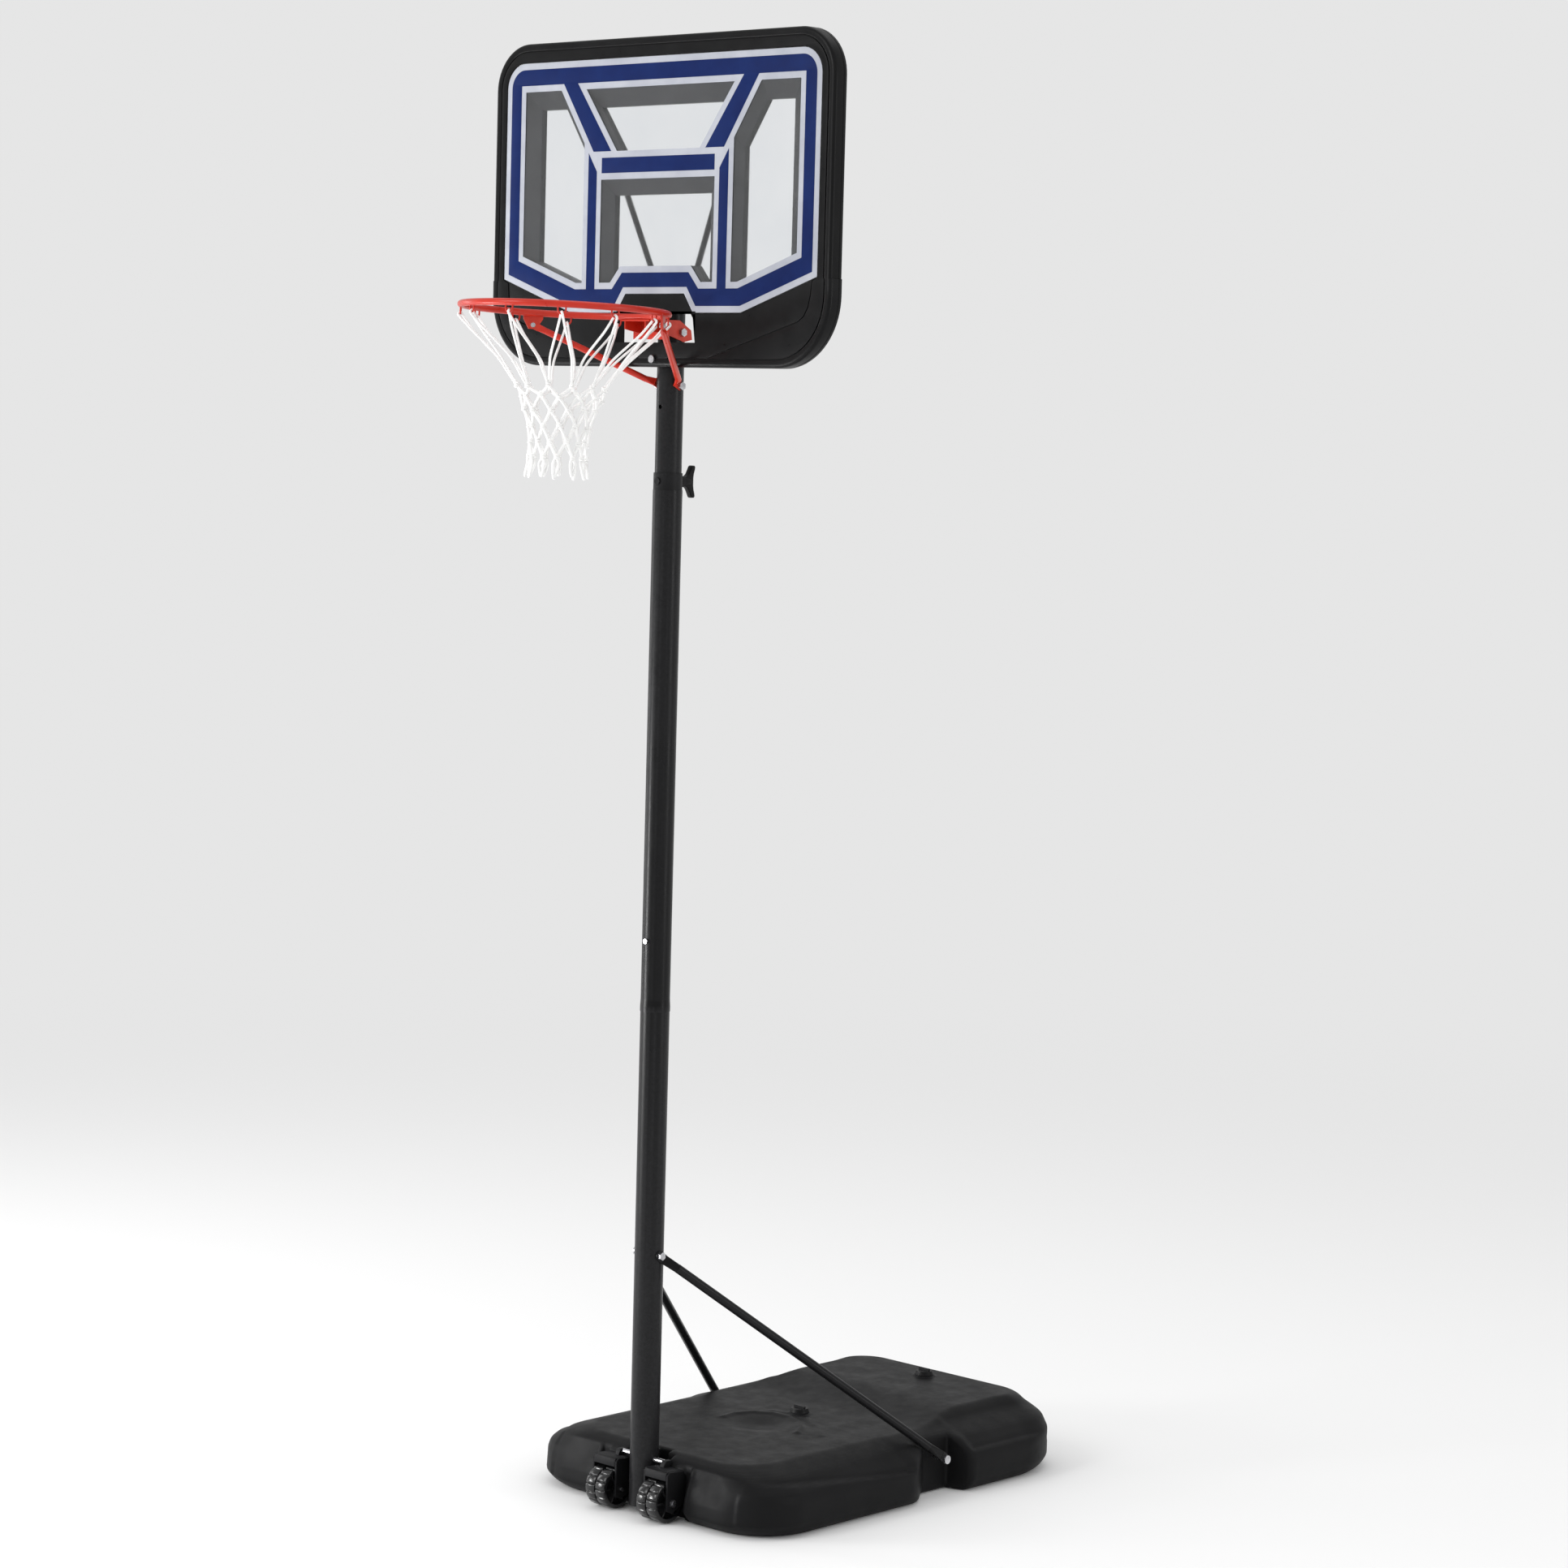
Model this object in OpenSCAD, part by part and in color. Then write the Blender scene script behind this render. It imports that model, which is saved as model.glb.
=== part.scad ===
/* [Board] */
// Width of the backboard
board_w = 1118; // [1040:1:1300]
// Height of the backboard
board_h = 765; // [700:1:860]
// Depth of the moulded frame from front to back
frame_depth = 40; // [34:1:50]
// Wall thickness of the moulded frame
frame_wall = 5; // [3:0.5:7]
// Radius of the two upper corners
top_corner_r = 110; // [60:1:140]
// Radius of the two lower corners
low_corner_r = 165; // [100:1:190]
// Thickness of the clear sheet
sheet_t = 3.2; // [2:0.1:4]
// Depth of the pocket that the sheet sits in
sheet_recess = 5; // [4.5:0.1:7]
// Width of the black border beside the sheet
border_side = 41; // [30:1:60]
// Width of the black border above the sheet
border_top = 45; // [30:1:60]
// Radius of the upper corners of the sheet
sheet_corner_r = 62; // [40:1:80]
// Width of the printed stripe that edges every window
stripe = 15; // [8:1:20]
// Distance that the ledges at the top of the windows reach in behind the sheet
ledge_top = 42; // [20:1:48]
// Distance that the ledges beside the outer windows reach in
ledge_side = 38; // [20:1:44]
// Distance that the ledges beside the middle window reach in
ledge_mid = 28; // [15:1:30]
// Depth of the sloped window walls
ledge_depth = 16; // [8:1:20]

/* [Rim] */
// Inside diameter of the ring
ring_inside = 457.2; // [400:0.1:480]
// Diameter of the ring's rod
ring_rod = 16; // [12:0.5:20]
// Height of the ring's centre above the floor
rim_height = 2860; // [2800:5:2920]
// Distance from the board's face to the ring's centre
ring_offset = 284; // [275:1:330]
// Upward tilt of the front of the ring in degrees
ring_tilt = 2; // [0:0.5:4]
// Length of the hanging net
net_l = 380; // [300:5:420]
// Diameter of the rim braces
brace_d = 15; // [10:0.5:18]

/* [Pole] */
// Outside diameter of the bottom and middle poles
pole_d = 70; // [66:0.5:76]
// Wall thickness of every pole
pole_wall = 2; // [1.5:0.1:2.5]
// Height of the foot of the pole above the floor
foot_z = 20; // [10:1:40]
// Height of the joint between bottom and middle pole
joint_z = 1216; // [1000:1:1400]
// Height of the top of the middle pole
collar_z = 2452; // [2380:1:2480]
// Height of the collar above the middle pole
collar_h = 40; // [30:1:46]
// Length of the upper pole hidden in the middle pole
overlap = 750; // [500:5:900]
// Distance between height holes, and the travel each way
hole_pitch = 174; // [120:1:180]
// Distance from the pole's axis to the board's face
board_stand = 61; // [56:1:68]

/* [Base] */
// Width of the base
base_w = 820; // [740:5:960]
// Length of the base
base_l = 1165; // [1100:5:1400]
// Height of the rear deck
base_h = 175; // [165:1:210]
// Height of the front deck
deck_h = 152; // [145:1:160]
// Wall thickness of the tank
tank_wall = 5; // [3:0.5:6]
// Depth of water in the tank
fill_h = 116; // [60:1:118]
// Distance that the base reaches in front of the pole's axis
base_front = 20; // [15:1:30]
// Diameter of the wheels
wheel_d = 100; // [80:1:104]
// Width of each wheel
wheel_w = 64; // [40:1:70]
// Diameter of the struts
strut_d = 22; // [18:0.5:28]
// Height of the strut bolt on the pole
strut_z = 630; // [500:5:800]
// Diameter of the filler holes
filler_d = 34; // [20:1:44]

/* [Hidden] */
$fn = 64;

// running clearance on the radius, and a cut's overshoot
slip = 0.08;
eps = 1;
zip = 0.25;

// poles
pole_r = pole_d / 2;
bore_r = pole_r - pole_wall;
swage_r = bore_r - 0.3;
swage_l = 200;
flare = 1;
upper_d = 2 * bore_r - 2.5;
upper_r = upper_d / 2;
upper_bottom = collar_z - overlap;
upper_top = rim_height + 40;
knob_z = collar_z + collar_h / 2;
screw_z = joint_z + swage_l - 31;
rod_z = 135;
rod_d = 12;
bolt_d = 10;

// ring and where it stands
ring_r = ring_inside / 2 + ring_rod / 2;
ring_y = -board_stand - ring_offset;
front_reach = -ring_y + ring_r * cos(ring_tilt) + ring_rod / 2;
rear_reach = base_l - base_front;
pole_y = (front_reach - rear_reach) / 2;
rim_bolt_z = rim_height - 40;
board_bolt_z = rim_height + 12;

// board, whose lower edge is at board_z
board_z = rim_height - 122;
half_w = board_w / 2;
face_y = -board_stand;
back_y = face_y + frame_depth;
low_screw_z = board_z + 18;

// corners of the printed windows, as x and height above the board's lower edge
win_x = half_w - border_side - 2 * stripe - 21;
win_top = board_h - border_top - 2 * stripe - 25;
side_low = 249;
toe_x = 269;
toe_low = 181;
bar_out = 231;
bar_in = 202;
box_top = 488;
box_low = 452;
diag_out = 321;
diag_in = 273;
diag_foot_out = 215;
diag_foot_in = 144;
step_x = 143;
step_top_x = 110;
step_top = 219;
diag_foot_z = box_top + stripe;
knee = diag_foot_z + (bar_out - diag_foot_out) * (win_top - diag_foot_z) / (diag_out - diag_foot_out);
side_window = [[bar_out, toe_low], [toe_x, toe_low], [win_x, side_low], [win_x, win_top],
  [diag_out, win_top], [bar_out, knee]];
top_window = [[-diag_foot_in, box_top], [diag_foot_in, box_top], [diag_in, win_top],
  [-diag_in, win_top]];
mid_window = [[-bar_in, toe_low], [-step_x, toe_low], [-step_top_x, step_top],
  [step_top_x, step_top], [step_x, toe_low], [bar_in, toe_low], [bar_in, box_low],
  [-bar_in, box_low]];

// opening for the rim bracket, below the sheet
port_x = 135;
port_low = 57;
port_high = 128;
port = [[-port_x, port_low], [port_x, port_low], [port_x, port_high], [-port_x, port_high]];

// outline of the sheet
sheet_x = half_w - border_side;
sheet_top = board_h - border_top;
sheet_side_low = 204;
sheet_toe_x = 281;
sheet_low = 124;
notch_x = 127;
notch_top_x = 97;
notch_top = 168;

// board braces
brace_top_x = 172;
brace_top_z = board_z + 455;
brace_tab = 20;
board_brace_d = 14;
plate_t = 3;
plate_x = upper_r + zip;

// rim braces
rim_brace_x = 213;
rim_brace_y = ring_y + 100;
rim_brace_z = rim_height - 32;
brace_under = board_z - 0.57 * brace_d - 1;
brace_share = face_y / rim_brace_y;
brace_z = (brace_under - brace_share * rim_brace_z) / (1 - brace_share);
gusset_t = 4;
gusset_yaw = atan2(rim_brace_x - plate_x, -rim_brace_y);
gusset_shift = (gusset_t + plate_t) / 2 + 0.05;
bracket_front = ring_y + ring_r - 12;
shelf_x = ring_r * sin(15) - 15;

// base
half_base = base_w / 2;
base_y0 = -base_front;
base_y1 = rear_reach;
front_corner_r = 150;
rear_corner_r = 190;
slot_x = 46;
slot_back = 50;
well_in = slot_x + 6;
wheel_gap = 3;
well_out = well_in + wheel_w + 2 * wheel_gap;
wheel_x = (well_in + well_out) / 2;
wheel_y = -30;
wheel_lift = 1.5;
wheel_z = wheel_d / 2 + wheel_lift;
axle_d = 10;
lug_front = wheel_y - 18;
lug_top = 128;
lug_wall = 6;
lug_x = well_out + lug_wall;
well_top = wheel_z + wheel_d / 2 + 5;
well_back = wheel_y + wheel_d / 2 + 6;
pocket_x = 68;
pocket_z = 116;
rod_half = pocket_x + 14;
lobe_x = 150;
notch_y0 = 545;
notch_y1 = 735;
notch_depth = 68;
notch_h = 120;
shoulder_z = 105;
dish_y = 400;
dish_r = 75;
dish_depth = 12;
cap_front_y = 545;
cap_rear_y = 1015;
cap_head = 10;
cap_stem = 22;
cap_ys = [cap_front_y, cap_rear_y];
cap_zs = [deck_h, base_h];

// struts
strut_top = [pole_r + 2.2, 0, strut_z];
strut_foot = [half_base - 24, 660, 92];
strut_room = 4;
foot_bolt_in = half_base - notch_depth - 20;
strut_bend = 55;
tab_t = 4;
tab_d = 24;
tab_reach = 18;

function unit(v) = v / norm(v);
function leftward(v) = [-v.y, v.x];
function meet(a, u, b, v) = a + u * (cross(b - a, v) / cross(u, v));
// each edge of a counter-clockwise outline, moved in by its own distance in ds
function inset_each(pts, ds) = let (n = len(pts)) [for (i = [0:n - 1])
  let (k = (i + n - 1) % n, p = pts[k], c = pts[i], q = pts[(i + 1) % n], u = unit(c - p), v = unit(q - c))
  meet(p + ds[k] * leftward(u), u, c + ds[i] * leftward(v), v)];
function inset(pts, d) = inset_each(pts, [for (p = pts) d]);
function flip(pts) = [for (i = [len(pts) - 1:-1:0]) [-pts[i].x, pts[i].y]];
function arc(c, r, a0, a1, n) = [for (i = [0:n]) let (a = a0 + (a1 - a0) * i / n)
  c + r * [cos(a), sin(a)]];
function turned(p, s) = [s * p.x, p.y, p.z];
// the middle of the tab that is riveted to the ring's gusset on side s
function rim_brace_end(s) = [s * rim_brace_x, rim_brace_y, rim_brace_z];

// each window's outline, and how far each of its edges has a ledge behind it
side_ledges = [0, 0, ledge_side, ledge_top, 24, 16];
windows = [[side_window, side_ledges],
  [flip(side_window), [24, ledge_top, ledge_side, 0, 0, 16]],
  [top_window, [0, 2, ledge_top, 2]],
  [mid_window, [0, 0, 0, 0, 0, ledge_mid, ledge_top - 6, ledge_mid]]];
function front_of(w, d) = inset(w[0], stripe + d);
function back_of(w, d) = inset_each(w[0], [for (l = w[1]) stripe + l + d]);

// everything is drawn with the pole's axis at the origin, then moved to stand centred
module placed() { translate([0, pole_y, 0]) children(); }

// an outline in X and Z, extruded from y0 to y1
module along_y(y0, y1) { translate([0, y1, 0]) rotate([90, 0, 0]) linear_extrude(y1 - y0) children(); }

// an outline in Y and Z, extruded from x0 to x1
module along_x(x0, x1) { translate([x0, 0, 0]) rotate([90, 0, 90]) linear_extrude(x1 - x0) children(); }

module rod(a, b, d) {
  v = b - a;
  translate(a) rotate([0, acos(v.z / norm(v)), atan2(v.y, v.x)]) cylinder(h = norm(v), d = d);
}

module pin_x(x0, x1, y, z, d) { translate([x0, y, z]) rotate([0, 90, 0]) cylinder(h = x1 - x0, d = d); }

module pin_y(y0, y1, x, z, d) { translate([x, y1, z]) rotate([90, 0, 0]) cylinder(h = y1 - y0, d = d); }

// a flat tab that turns about its bolt: at the bolt's middle, yaw turns its plane about Z,
// and d is its direction in that plane, as level and upward parts
module tab(at, yaw, d, reach, width, t) {
  translate(at) rotate([0, 0, yaw]) rotate([atan2(d.y, d.x), 0, 0]) {
    translate([-t / 2, 0, -width / 2]) cube([t, reach, width]);
    rotate([0, 90, 0]) cylinder(h = t, d = width, center = true);
  }
}

// the drawn-out stretch between such a tab and the end p of a tube that runs on along u
module drawn_end(at, yaw, d, reach, width, t, p, u, tube_d) {
  hull() {
    translate(at) rotate([0, 0, yaw]) rotate([atan2(d.y, d.x), 0, 0])
      translate([-t / 2 + 0.2, reach - 3, -width / 2 + 0.5]) cube([t - 0.4, eps, width - 1]);
    rod(p + 3 * u, p + 4 * u, tube_d - 0.8, $fn = 24);
  }
}

// a bolt along X through the pole, with a hex head and a nut
module cross_bolt(half, y, z, d) {
  pin_x(-half, half, y, z, d);
  pin_x(-half - 0.6 * d, -half, y, z, 2.1 * d);
  translate([half, y, z]) rotate([0, 90, 0]) cylinder(h = 0.75 * d, d = 2 * d, $fn = 6);
}

// ---------------------------------------------------------------- base

module plan(e) {
  fr = front_corner_r;
  rr = rear_corner_r;
  xr = half_base - rr;
  xf = half_base - fr;
  translate([-half_base + e, base_y0 + fr]) square([base_w - 2 * e, base_l - fr - rr]);
  translate([-xf, base_y0 + e]) square([2 * xf, fr]);
  translate([-xr, base_y1 - rr - eps]) square([2 * xr, rr + eps - e]);
  for (s = [-1, 1]) {
    translate([s * xf, base_y0 + fr]) circle(r = fr - e);
    translate([s * xr, base_y1 - rr]) circle(r = rr - e);
  }
}

module across(e) {
  w = half_base;
  half = [[w - 15, 0], [w, 25], [w, 60], [w - 8, shoulder_z], [w - 48, 131], [w - 105, deck_h],
    [w - 125, base_h]];
  right = [for (i = [0:len(half) - 1]) half[i]];
  polygon(inset(concat(right, [for (i = [len(half) - 1:-1:0]) [-half[i].x, half[i].y]]), e));
}

module lengthwise(e) {
  y0 = base_y0;
  y1 = base_y1;
  polygon(inset([[y0 + 12, 0], [y1 - 15, 0], [y1, 25], [y1 - 4, 100], [y1 - 28, base_h - 14],
    [y1 - 75, base_h], [850, base_h], [640, deck_h], [y0 + 18, deck_h], [y0, deck_h - 14],
    [y0, 14]], e));
}

module hull_form(e) {
  intersection() {
    linear_extrude(base_h) plan(e);
    along_y(base_y0, base_y1) across(e);
    along_x(-half_base, half_base) lengthwise(e);
  }
}

module side_notch(s, e) {
  x = half_base - notch_depth - e;
  y0 = notch_y0 - e;
  y1 = notch_y1 + e;
  linear_extrude(2 * (notch_h + e), center = true)
    polygon([[s * (half_base + eps), y0 - 10], [s * x, y0 + 80], [s * x, y1 - 20],
      [s * (half_base + eps), y1]]);
}

// a pin along X on side s, from x0 to x1 out from the middle
module pin_out(s, x0, x1, y, z, d) {
  pin_x(s * (x0 + x1) / 2 - (x1 - x0) / 2, s * (x0 + x1) / 2 + (x1 - x0) / 2, y, z, d);
}

// the channel that a strut lies in where it comes down into its notch
module strut_channel(s, e) {
  a = turned(strut_top, s);
  b = turned(strut_foot, s);
  u = unit(a - b);
  rod(b + (8 - e) * u, b + 170 * u, strut_d + 2 * strut_room + 2 * e);
}

// the rooms in the tank: everything but the front bay, the notches and under the dish
module rooms(e, top) {
  difference() {
    intersection() {
      hull_form(e);
      translate([-half_base, base_y0, 0]) cube([base_w, base_l, top]);
    }
    translate([-lobe_x - e, base_y0 - eps, -eps])
      cube([2 * (lobe_x + e), -base_y0 + eps + slot_back + 20 + e, base_h + 2 * eps]);
    for (s = [-1, 1]) side_notch(s, e);
    translate([0, dish_y, deck_h - dish_depth - 2 * e]) cylinder(h = base_h, r = dish_r + e);
  }
}

module base_tank() color([0.13, 0.13, 0.135]) placed() {
  difference() {
    union() {
      hull_form(0);
      for (s = [-1, 1]) translate([s * wheel_x, 0, 0])
        along_x(-(lug_x - wheel_x), lug_x - wheel_x) polygon([[lug_front, 34], [lug_front, lug_top - 8],
          [lug_front + 8, lug_top], [base_y0 + eps, lug_top], [base_y0 + eps, 34]]);
      for (i = [0, 1]) translate([0, cap_ys[i], cap_zs[i] - eps])
        cylinder(h = eps + 4, d = filler_d + 16);
    }
    difference() {
      rooms(tank_wall, base_h);
      for (s = [-1, 1]) {
        strut_channel(s, tank_wall);
        pin_out(s, foot_bolt_in - tank_wall, half_base, strut_foot.y, strut_foot.z,
          bolt_d + 2 * slip + 2 * tank_wall);
      }
    }
    translate([-slot_x, lug_front - eps, -eps]) cube([2 * slot_x, slot_back - lug_front, base_h + 2 * eps]);
    translate([-pocket_x, base_y0 - eps, pocket_z]) cube([2 * pocket_x, 52, base_h]);
    for (s = [-1, 1]) {
      translate([s * wheel_x - (well_out - well_in) / 2, lug_front - 60, -eps])
        cube([well_out - well_in, well_back - lug_front + 60, well_top + eps]);
      side_notch(s, 0);
      pin_x(s * wheel_x - 60, s * wheel_x + 60, wheel_y, wheel_z, axle_d + 2 * slip);
      strut_channel(s, 0);
      pin_out(s, foot_bolt_in - 1, half_base, strut_foot.y, strut_foot.z, bolt_d + 2 * slip);
    }
    pin_x(-rod_half, rod_half, 0, rod_z, rod_d + 2 * slip);
    translate([0, dish_y, deck_h - dish_depth])
      translate([0, 0, (dish_r * dish_r + dish_depth * dish_depth) / (2 * dish_depth)])
        sphere(r = (dish_r * dish_r + dish_depth * dish_depth) / (2 * dish_depth));
    for (i = [0, 1]) translate([0, cap_ys[i], cap_zs[i] - 20]) cylinder(h = 40, d = filler_d + 2 * slip);
  }
}

// the water, which stops short of the walls round each strut's foot
module ballast_fill() color([0.45, 0.6, 0.7]) placed() difference() {
  rooms(tank_wall + 1, fill_h);
  for (s = [-1, 1]) translate([s * (foot_bolt_in - 12) - (s < 0 ? half_base : 0), strut_foot.y - 110, -eps])
    cube([half_base, 145, base_h]);
}

module filler_cap(y, z) {
  translate([0, y, z + 4]) {
    difference() {
      union() {
        cylinder(h = cap_head, d1 = filler_d + 14, d2 = filler_d + 8);
        translate([0, 0, -cap_stem]) cylinder(h = cap_stem + eps, d = filler_d);
      }
      translate([0, 0, -cap_stem - eps]) cylinder(h = cap_stem, d = filler_d - 6);
    }
    translate([-filler_d / 2, -3, cap_head - eps]) cube([filler_d, 6, 7]);
  }
}

module filler_cap_front() color([0.1, 0.1, 0.1]) placed() filler_cap(cap_front_y, deck_h);

module filler_cap_rear() color([0.1, 0.1, 0.1]) placed() filler_cap(cap_rear_y, base_h);

// a wheel with two tread bands, spoked side pockets and a hub
module wheel(s) {
  r = wheel_d / 2;
  w = wheel_w / 2;
  translate([s * wheel_x, wheel_y, wheel_z]) rotate([0, 90, 0]) difference() {
    rotate_extrude($fn = 96) polygon([[axle_d / 2 + slip, -w], [11, -w], [11, -w + 3], [r - 12, -w + 3],
      [r - 10, -w], [r - 3, -w], [r, -w + 3], [r, -2], [r - 3, -1], [r - 3, 1], [r, 2], [r, w - 3],
      [r - 3, w], [r - 10, w], [r - 12, w - 3], [11, w - 3], [11, w], [axle_d / 2 + slip, w]]);
    for (a = [0:60:300]) rotate(a + 30) translate([24.5, 0, 0]) cylinder(h = wheel_w + 2, d = 15, center = true);
  }
}

module wheel_left() color([0.08, 0.08, 0.08]) placed() wheel(-1);

module wheel_right() color([0.08, 0.08, 0.08]) placed() wheel(1);

module wheel_axle(s) {
  reach = lug_x - wheel_x + 6;
  x = s * wheel_x;
  pin_x(x - reach, x + reach, wheel_y, wheel_z, axle_d);
  pin_x(x + s * (lug_x - wheel_x) - (s < 0 ? 5 : 0), x + s * (lug_x - wheel_x) + (s < 0 ? 0 : 5),
    wheel_y, wheel_z, 1.8 * axle_d);
}

module wheel_axle_left() color([0.7, 0.7, 0.72]) placed() wheel_axle(-1);

module wheel_axle_right() color([0.7, 0.7, 0.72]) placed() wheel_axle(1);

module pole_base_rod() color([0.8, 0.8, 0.82]) placed() pin_x(-rod_half, rod_half, 0, rod_z, rod_d);

// ---------------------------------------------------------------- poles

module bottom_pole() color([0.12, 0.12, 0.12]) placed() difference() {
  union() {
    translate([0, 0, foot_z]) cylinder(h = joint_z - foot_z, r = pole_r);
    translate([0, 0, joint_z - eps]) cylinder(h = swage_l + eps, r = swage_r);
  }
  translate([0, 0, foot_z - eps]) cylinder(h = joint_z - foot_z - 20, r = bore_r);
  translate([0, 0, joint_z - 40]) cylinder(h = swage_l + 42, r = swage_r - pole_wall);
  pin_x(-pole_d, pole_d, 0, rod_z, rod_d + 2 * slip);
  pin_x(-pole_d, pole_d, 0, strut_z, bolt_d + 2 * slip);
  pin_y(-pole_d, pole_d, 0, screw_z, 6 + 2 * slip);
}

module middle_pole() color([0.12, 0.12, 0.12]) placed() difference() {
  union() {
    translate([0, 0, joint_z]) cylinder(h = collar_z - joint_z, r = pole_r);
    translate([0, 0, joint_z]) cylinder(h = 12, r = pole_r + flare);
    translate([0, 0, joint_z + 12]) cylinder(h = 18, r1 = pole_r + flare, r2 = pole_r);
  }
  translate([0, 0, joint_z - eps]) cylinder(h = collar_z - joint_z + 2 * eps, r = bore_r);
  pin_y(-pole_d, pole_d, 0, screw_z, 6 + 2 * slip);
}

// a screw and its nut through the lapped poles
module pole_joint_screw() color([0.8, 0.8, 0.82]) placed() {
  pin_y(-pole_r - 2, pole_r + 2, 0, screw_z, 6);
  pin_y(-pole_r - 4.5, -pole_r - 0.3, 0, screw_z, 12);
  translate([0, pole_r + 4.8, screw_z]) rotate([90, 0, 0]) cylinder(h = 4.5, d = 11, $fn = 6);
}

// the sleeve that guides the upper pole in the mouth of the middle pole
module pole_collar() color([0.1, 0.1, 0.1]) placed() difference() {
  union() {
    translate([0, 0, collar_z]) cylinder(h = collar_h, r = pole_r - 0.8);
    translate([0, 0, collar_z - 50]) cylinder(h = 51, r = bore_r);
    pin_y(0, pole_r + 12, 0, knob_z, 27);
    pin_y(-pole_r - 2, 0, 0, knob_z, 16);
  }
  translate([0, 0, collar_z - 51]) cylinder(h = collar_h + 52, r = upper_r + slip);
  pin_y(0, pole_r + 13, 0, knob_z, bolt_d + 2 * slip);
}

module height_knob() color([0.07, 0.07, 0.07]) placed() difference() {
  union() {
    pin_y(pole_r + 13, pole_r + 40, 0, knob_z, 20);
    translate([0, pole_r + 42, knob_z - 30]) cylinder(h = 60, d = 16);
    for (s = [-1, 1]) translate([0, pole_r + 42, knob_z + s * 30]) sphere(d = 16);
  }
  pin_y(pole_r + 12, pole_r + 34, 0, knob_z, bolt_d);
}

module height_screw() color([0.75, 0.75, 0.77]) placed() pin_y(upper_r + 0.5, pole_r + 34, 0, knob_z, bolt_d);

module upper_pole() color([0.11, 0.11, 0.11]) placed() difference() {
  translate([0, 0, upper_bottom]) cylinder(h = upper_top - upper_bottom, r = upper_r);
  translate([0, 0, upper_bottom - eps]) cylinder(h = upper_top - upper_bottom + 2 * eps, r = upper_r - pole_wall);
  for (k = [-3:1]) pin_y(-pole_d, pole_d, 0, knob_z + k * hole_pitch, bolt_d + 0.5);
  for (z = [brace_z, rim_bolt_z, board_bolt_z]) pin_x(-pole_d, pole_d, 0, z, bolt_d + 2 * slip);
  pin_y(-pole_d, pole_d, 0, low_screw_z, 8 + 2 * slip);
}

// the plastic shoe that guides the foot of the upper pole
module lower_guide() color([0.85, 0.85, 0.82]) placed() difference() {
  union() {
    translate([0, 0, upper_bottom - 12]) cylinder(h = 12, r = bore_r - slip);
    translate([0, 0, upper_bottom - eps]) cylinder(h = 31, r = upper_r - pole_wall);
  }
  translate([0, 0, upper_bottom - 13]) cylinder(h = 60, r = upper_r - pole_wall - 4);
}

module pole_top_cap() color([0.08, 0.08, 0.08]) placed() {
  translate([0, 0, upper_top]) cylinder(h = 5, r = upper_r);
  translate([0, 0, upper_top - 18]) cylinder(h = 19, r = upper_r - pole_wall);
}

// ---------------------------------------------------------------- struts

// a tube with flattened ends, from a bolt on the pole to a bolt in the base
module strut(s) {
  a = turned(strut_top, s);
  b = turned(strut_foot, s);
  u = unit(b - a);
  p = a + strut_bend * u;
  q = b - strut_bend * u;
  d = unit([u.y, u.z]);
  difference() {
    union() {
      rod(p, q, strut_d);
      tab(a, 0, d, tab_reach, tab_d, tab_t);
      tab(b, 0, -d, tab_reach, tab_d, tab_t);
      drawn_end(a, 0, d, tab_reach, tab_d, tab_t, p, u, strut_d);
      drawn_end(b, 0, -d, tab_reach, tab_d, tab_t, q, -u, strut_d);
    }
    rod(p + 20 * u, q - 20 * u, strut_d - 3);
    translate(q - 30 * u - [0, 0, strut_d]) cylinder(h = strut_d, d = 4);
    pin_x(a.x - tab_t, a.x + tab_t, a.y, a.z, bolt_d + 2 * slip);
    pin_x(b.x - tab_t, b.x + tab_t, b.y, b.z, bolt_d + 2 * slip);
  }
}

module strut_left() color([0.1, 0.1, 0.1]) placed() strut(-1);

module strut_right() color([0.1, 0.1, 0.1]) placed() strut(1);

module strut_top_bolt() color([0.8, 0.8, 0.82]) placed() cross_bolt(strut_top.x + tab_t / 2, 0, strut_z, bolt_d);

module strut_base_bolts() color([0.8, 0.8, 0.82]) placed() for (s = [-1, 1]) {
  outer = strut_foot.x + tab_t / 2;
  pin_out(s, foot_bolt_in, outer, strut_foot.y, strut_foot.z, bolt_d);
  pin_out(s, outer, outer + 6, strut_foot.y, strut_foot.z, 2.1 * bolt_d);
}

// ---------------------------------------------------------------- board

module board_outline(e) {
  rt = top_corner_r;
  rl = low_corner_r;
  translate([-half_w + e, rl]) square([board_w - 2 * e, board_h - rl - rt]);
  translate([-half_w + rl, e]) square([board_w - 2 * rl, rl]);
  translate([-half_w + rt, board_h - rt - eps]) square([board_w - 2 * rt, rt + eps - e]);
  for (s = [-1, 1]) {
    translate([s * (half_w - rl), rl]) circle(r = rl - e);
    translate([s * (half_w - rt), board_h - rt]) circle(r = rt - e);
  }
}

module sheet_outline(e) {
  r = sheet_corner_r;
  half = concat([[notch_top_x, notch_top], [notch_x, sheet_low], [sheet_toe_x, sheet_low],
    [sheet_x, sheet_side_low]], arc([sheet_x - r, sheet_top - r], r, 0, 90, 12));
  polygon(inset(concat(half, flip(half)), e));
}

// material kept around the pole behind the face, with its channel
module pole_block() {
  for (z = [[0, port_low], [port_high, port_high + 52]])
    translate([-upper_r - 14, face_y + sheet_recess + eps, board_z + z[0]])
      cube([2 * upper_r + 28, frame_depth - sheet_recess - eps, z[1] - z[0]]);
}

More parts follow.
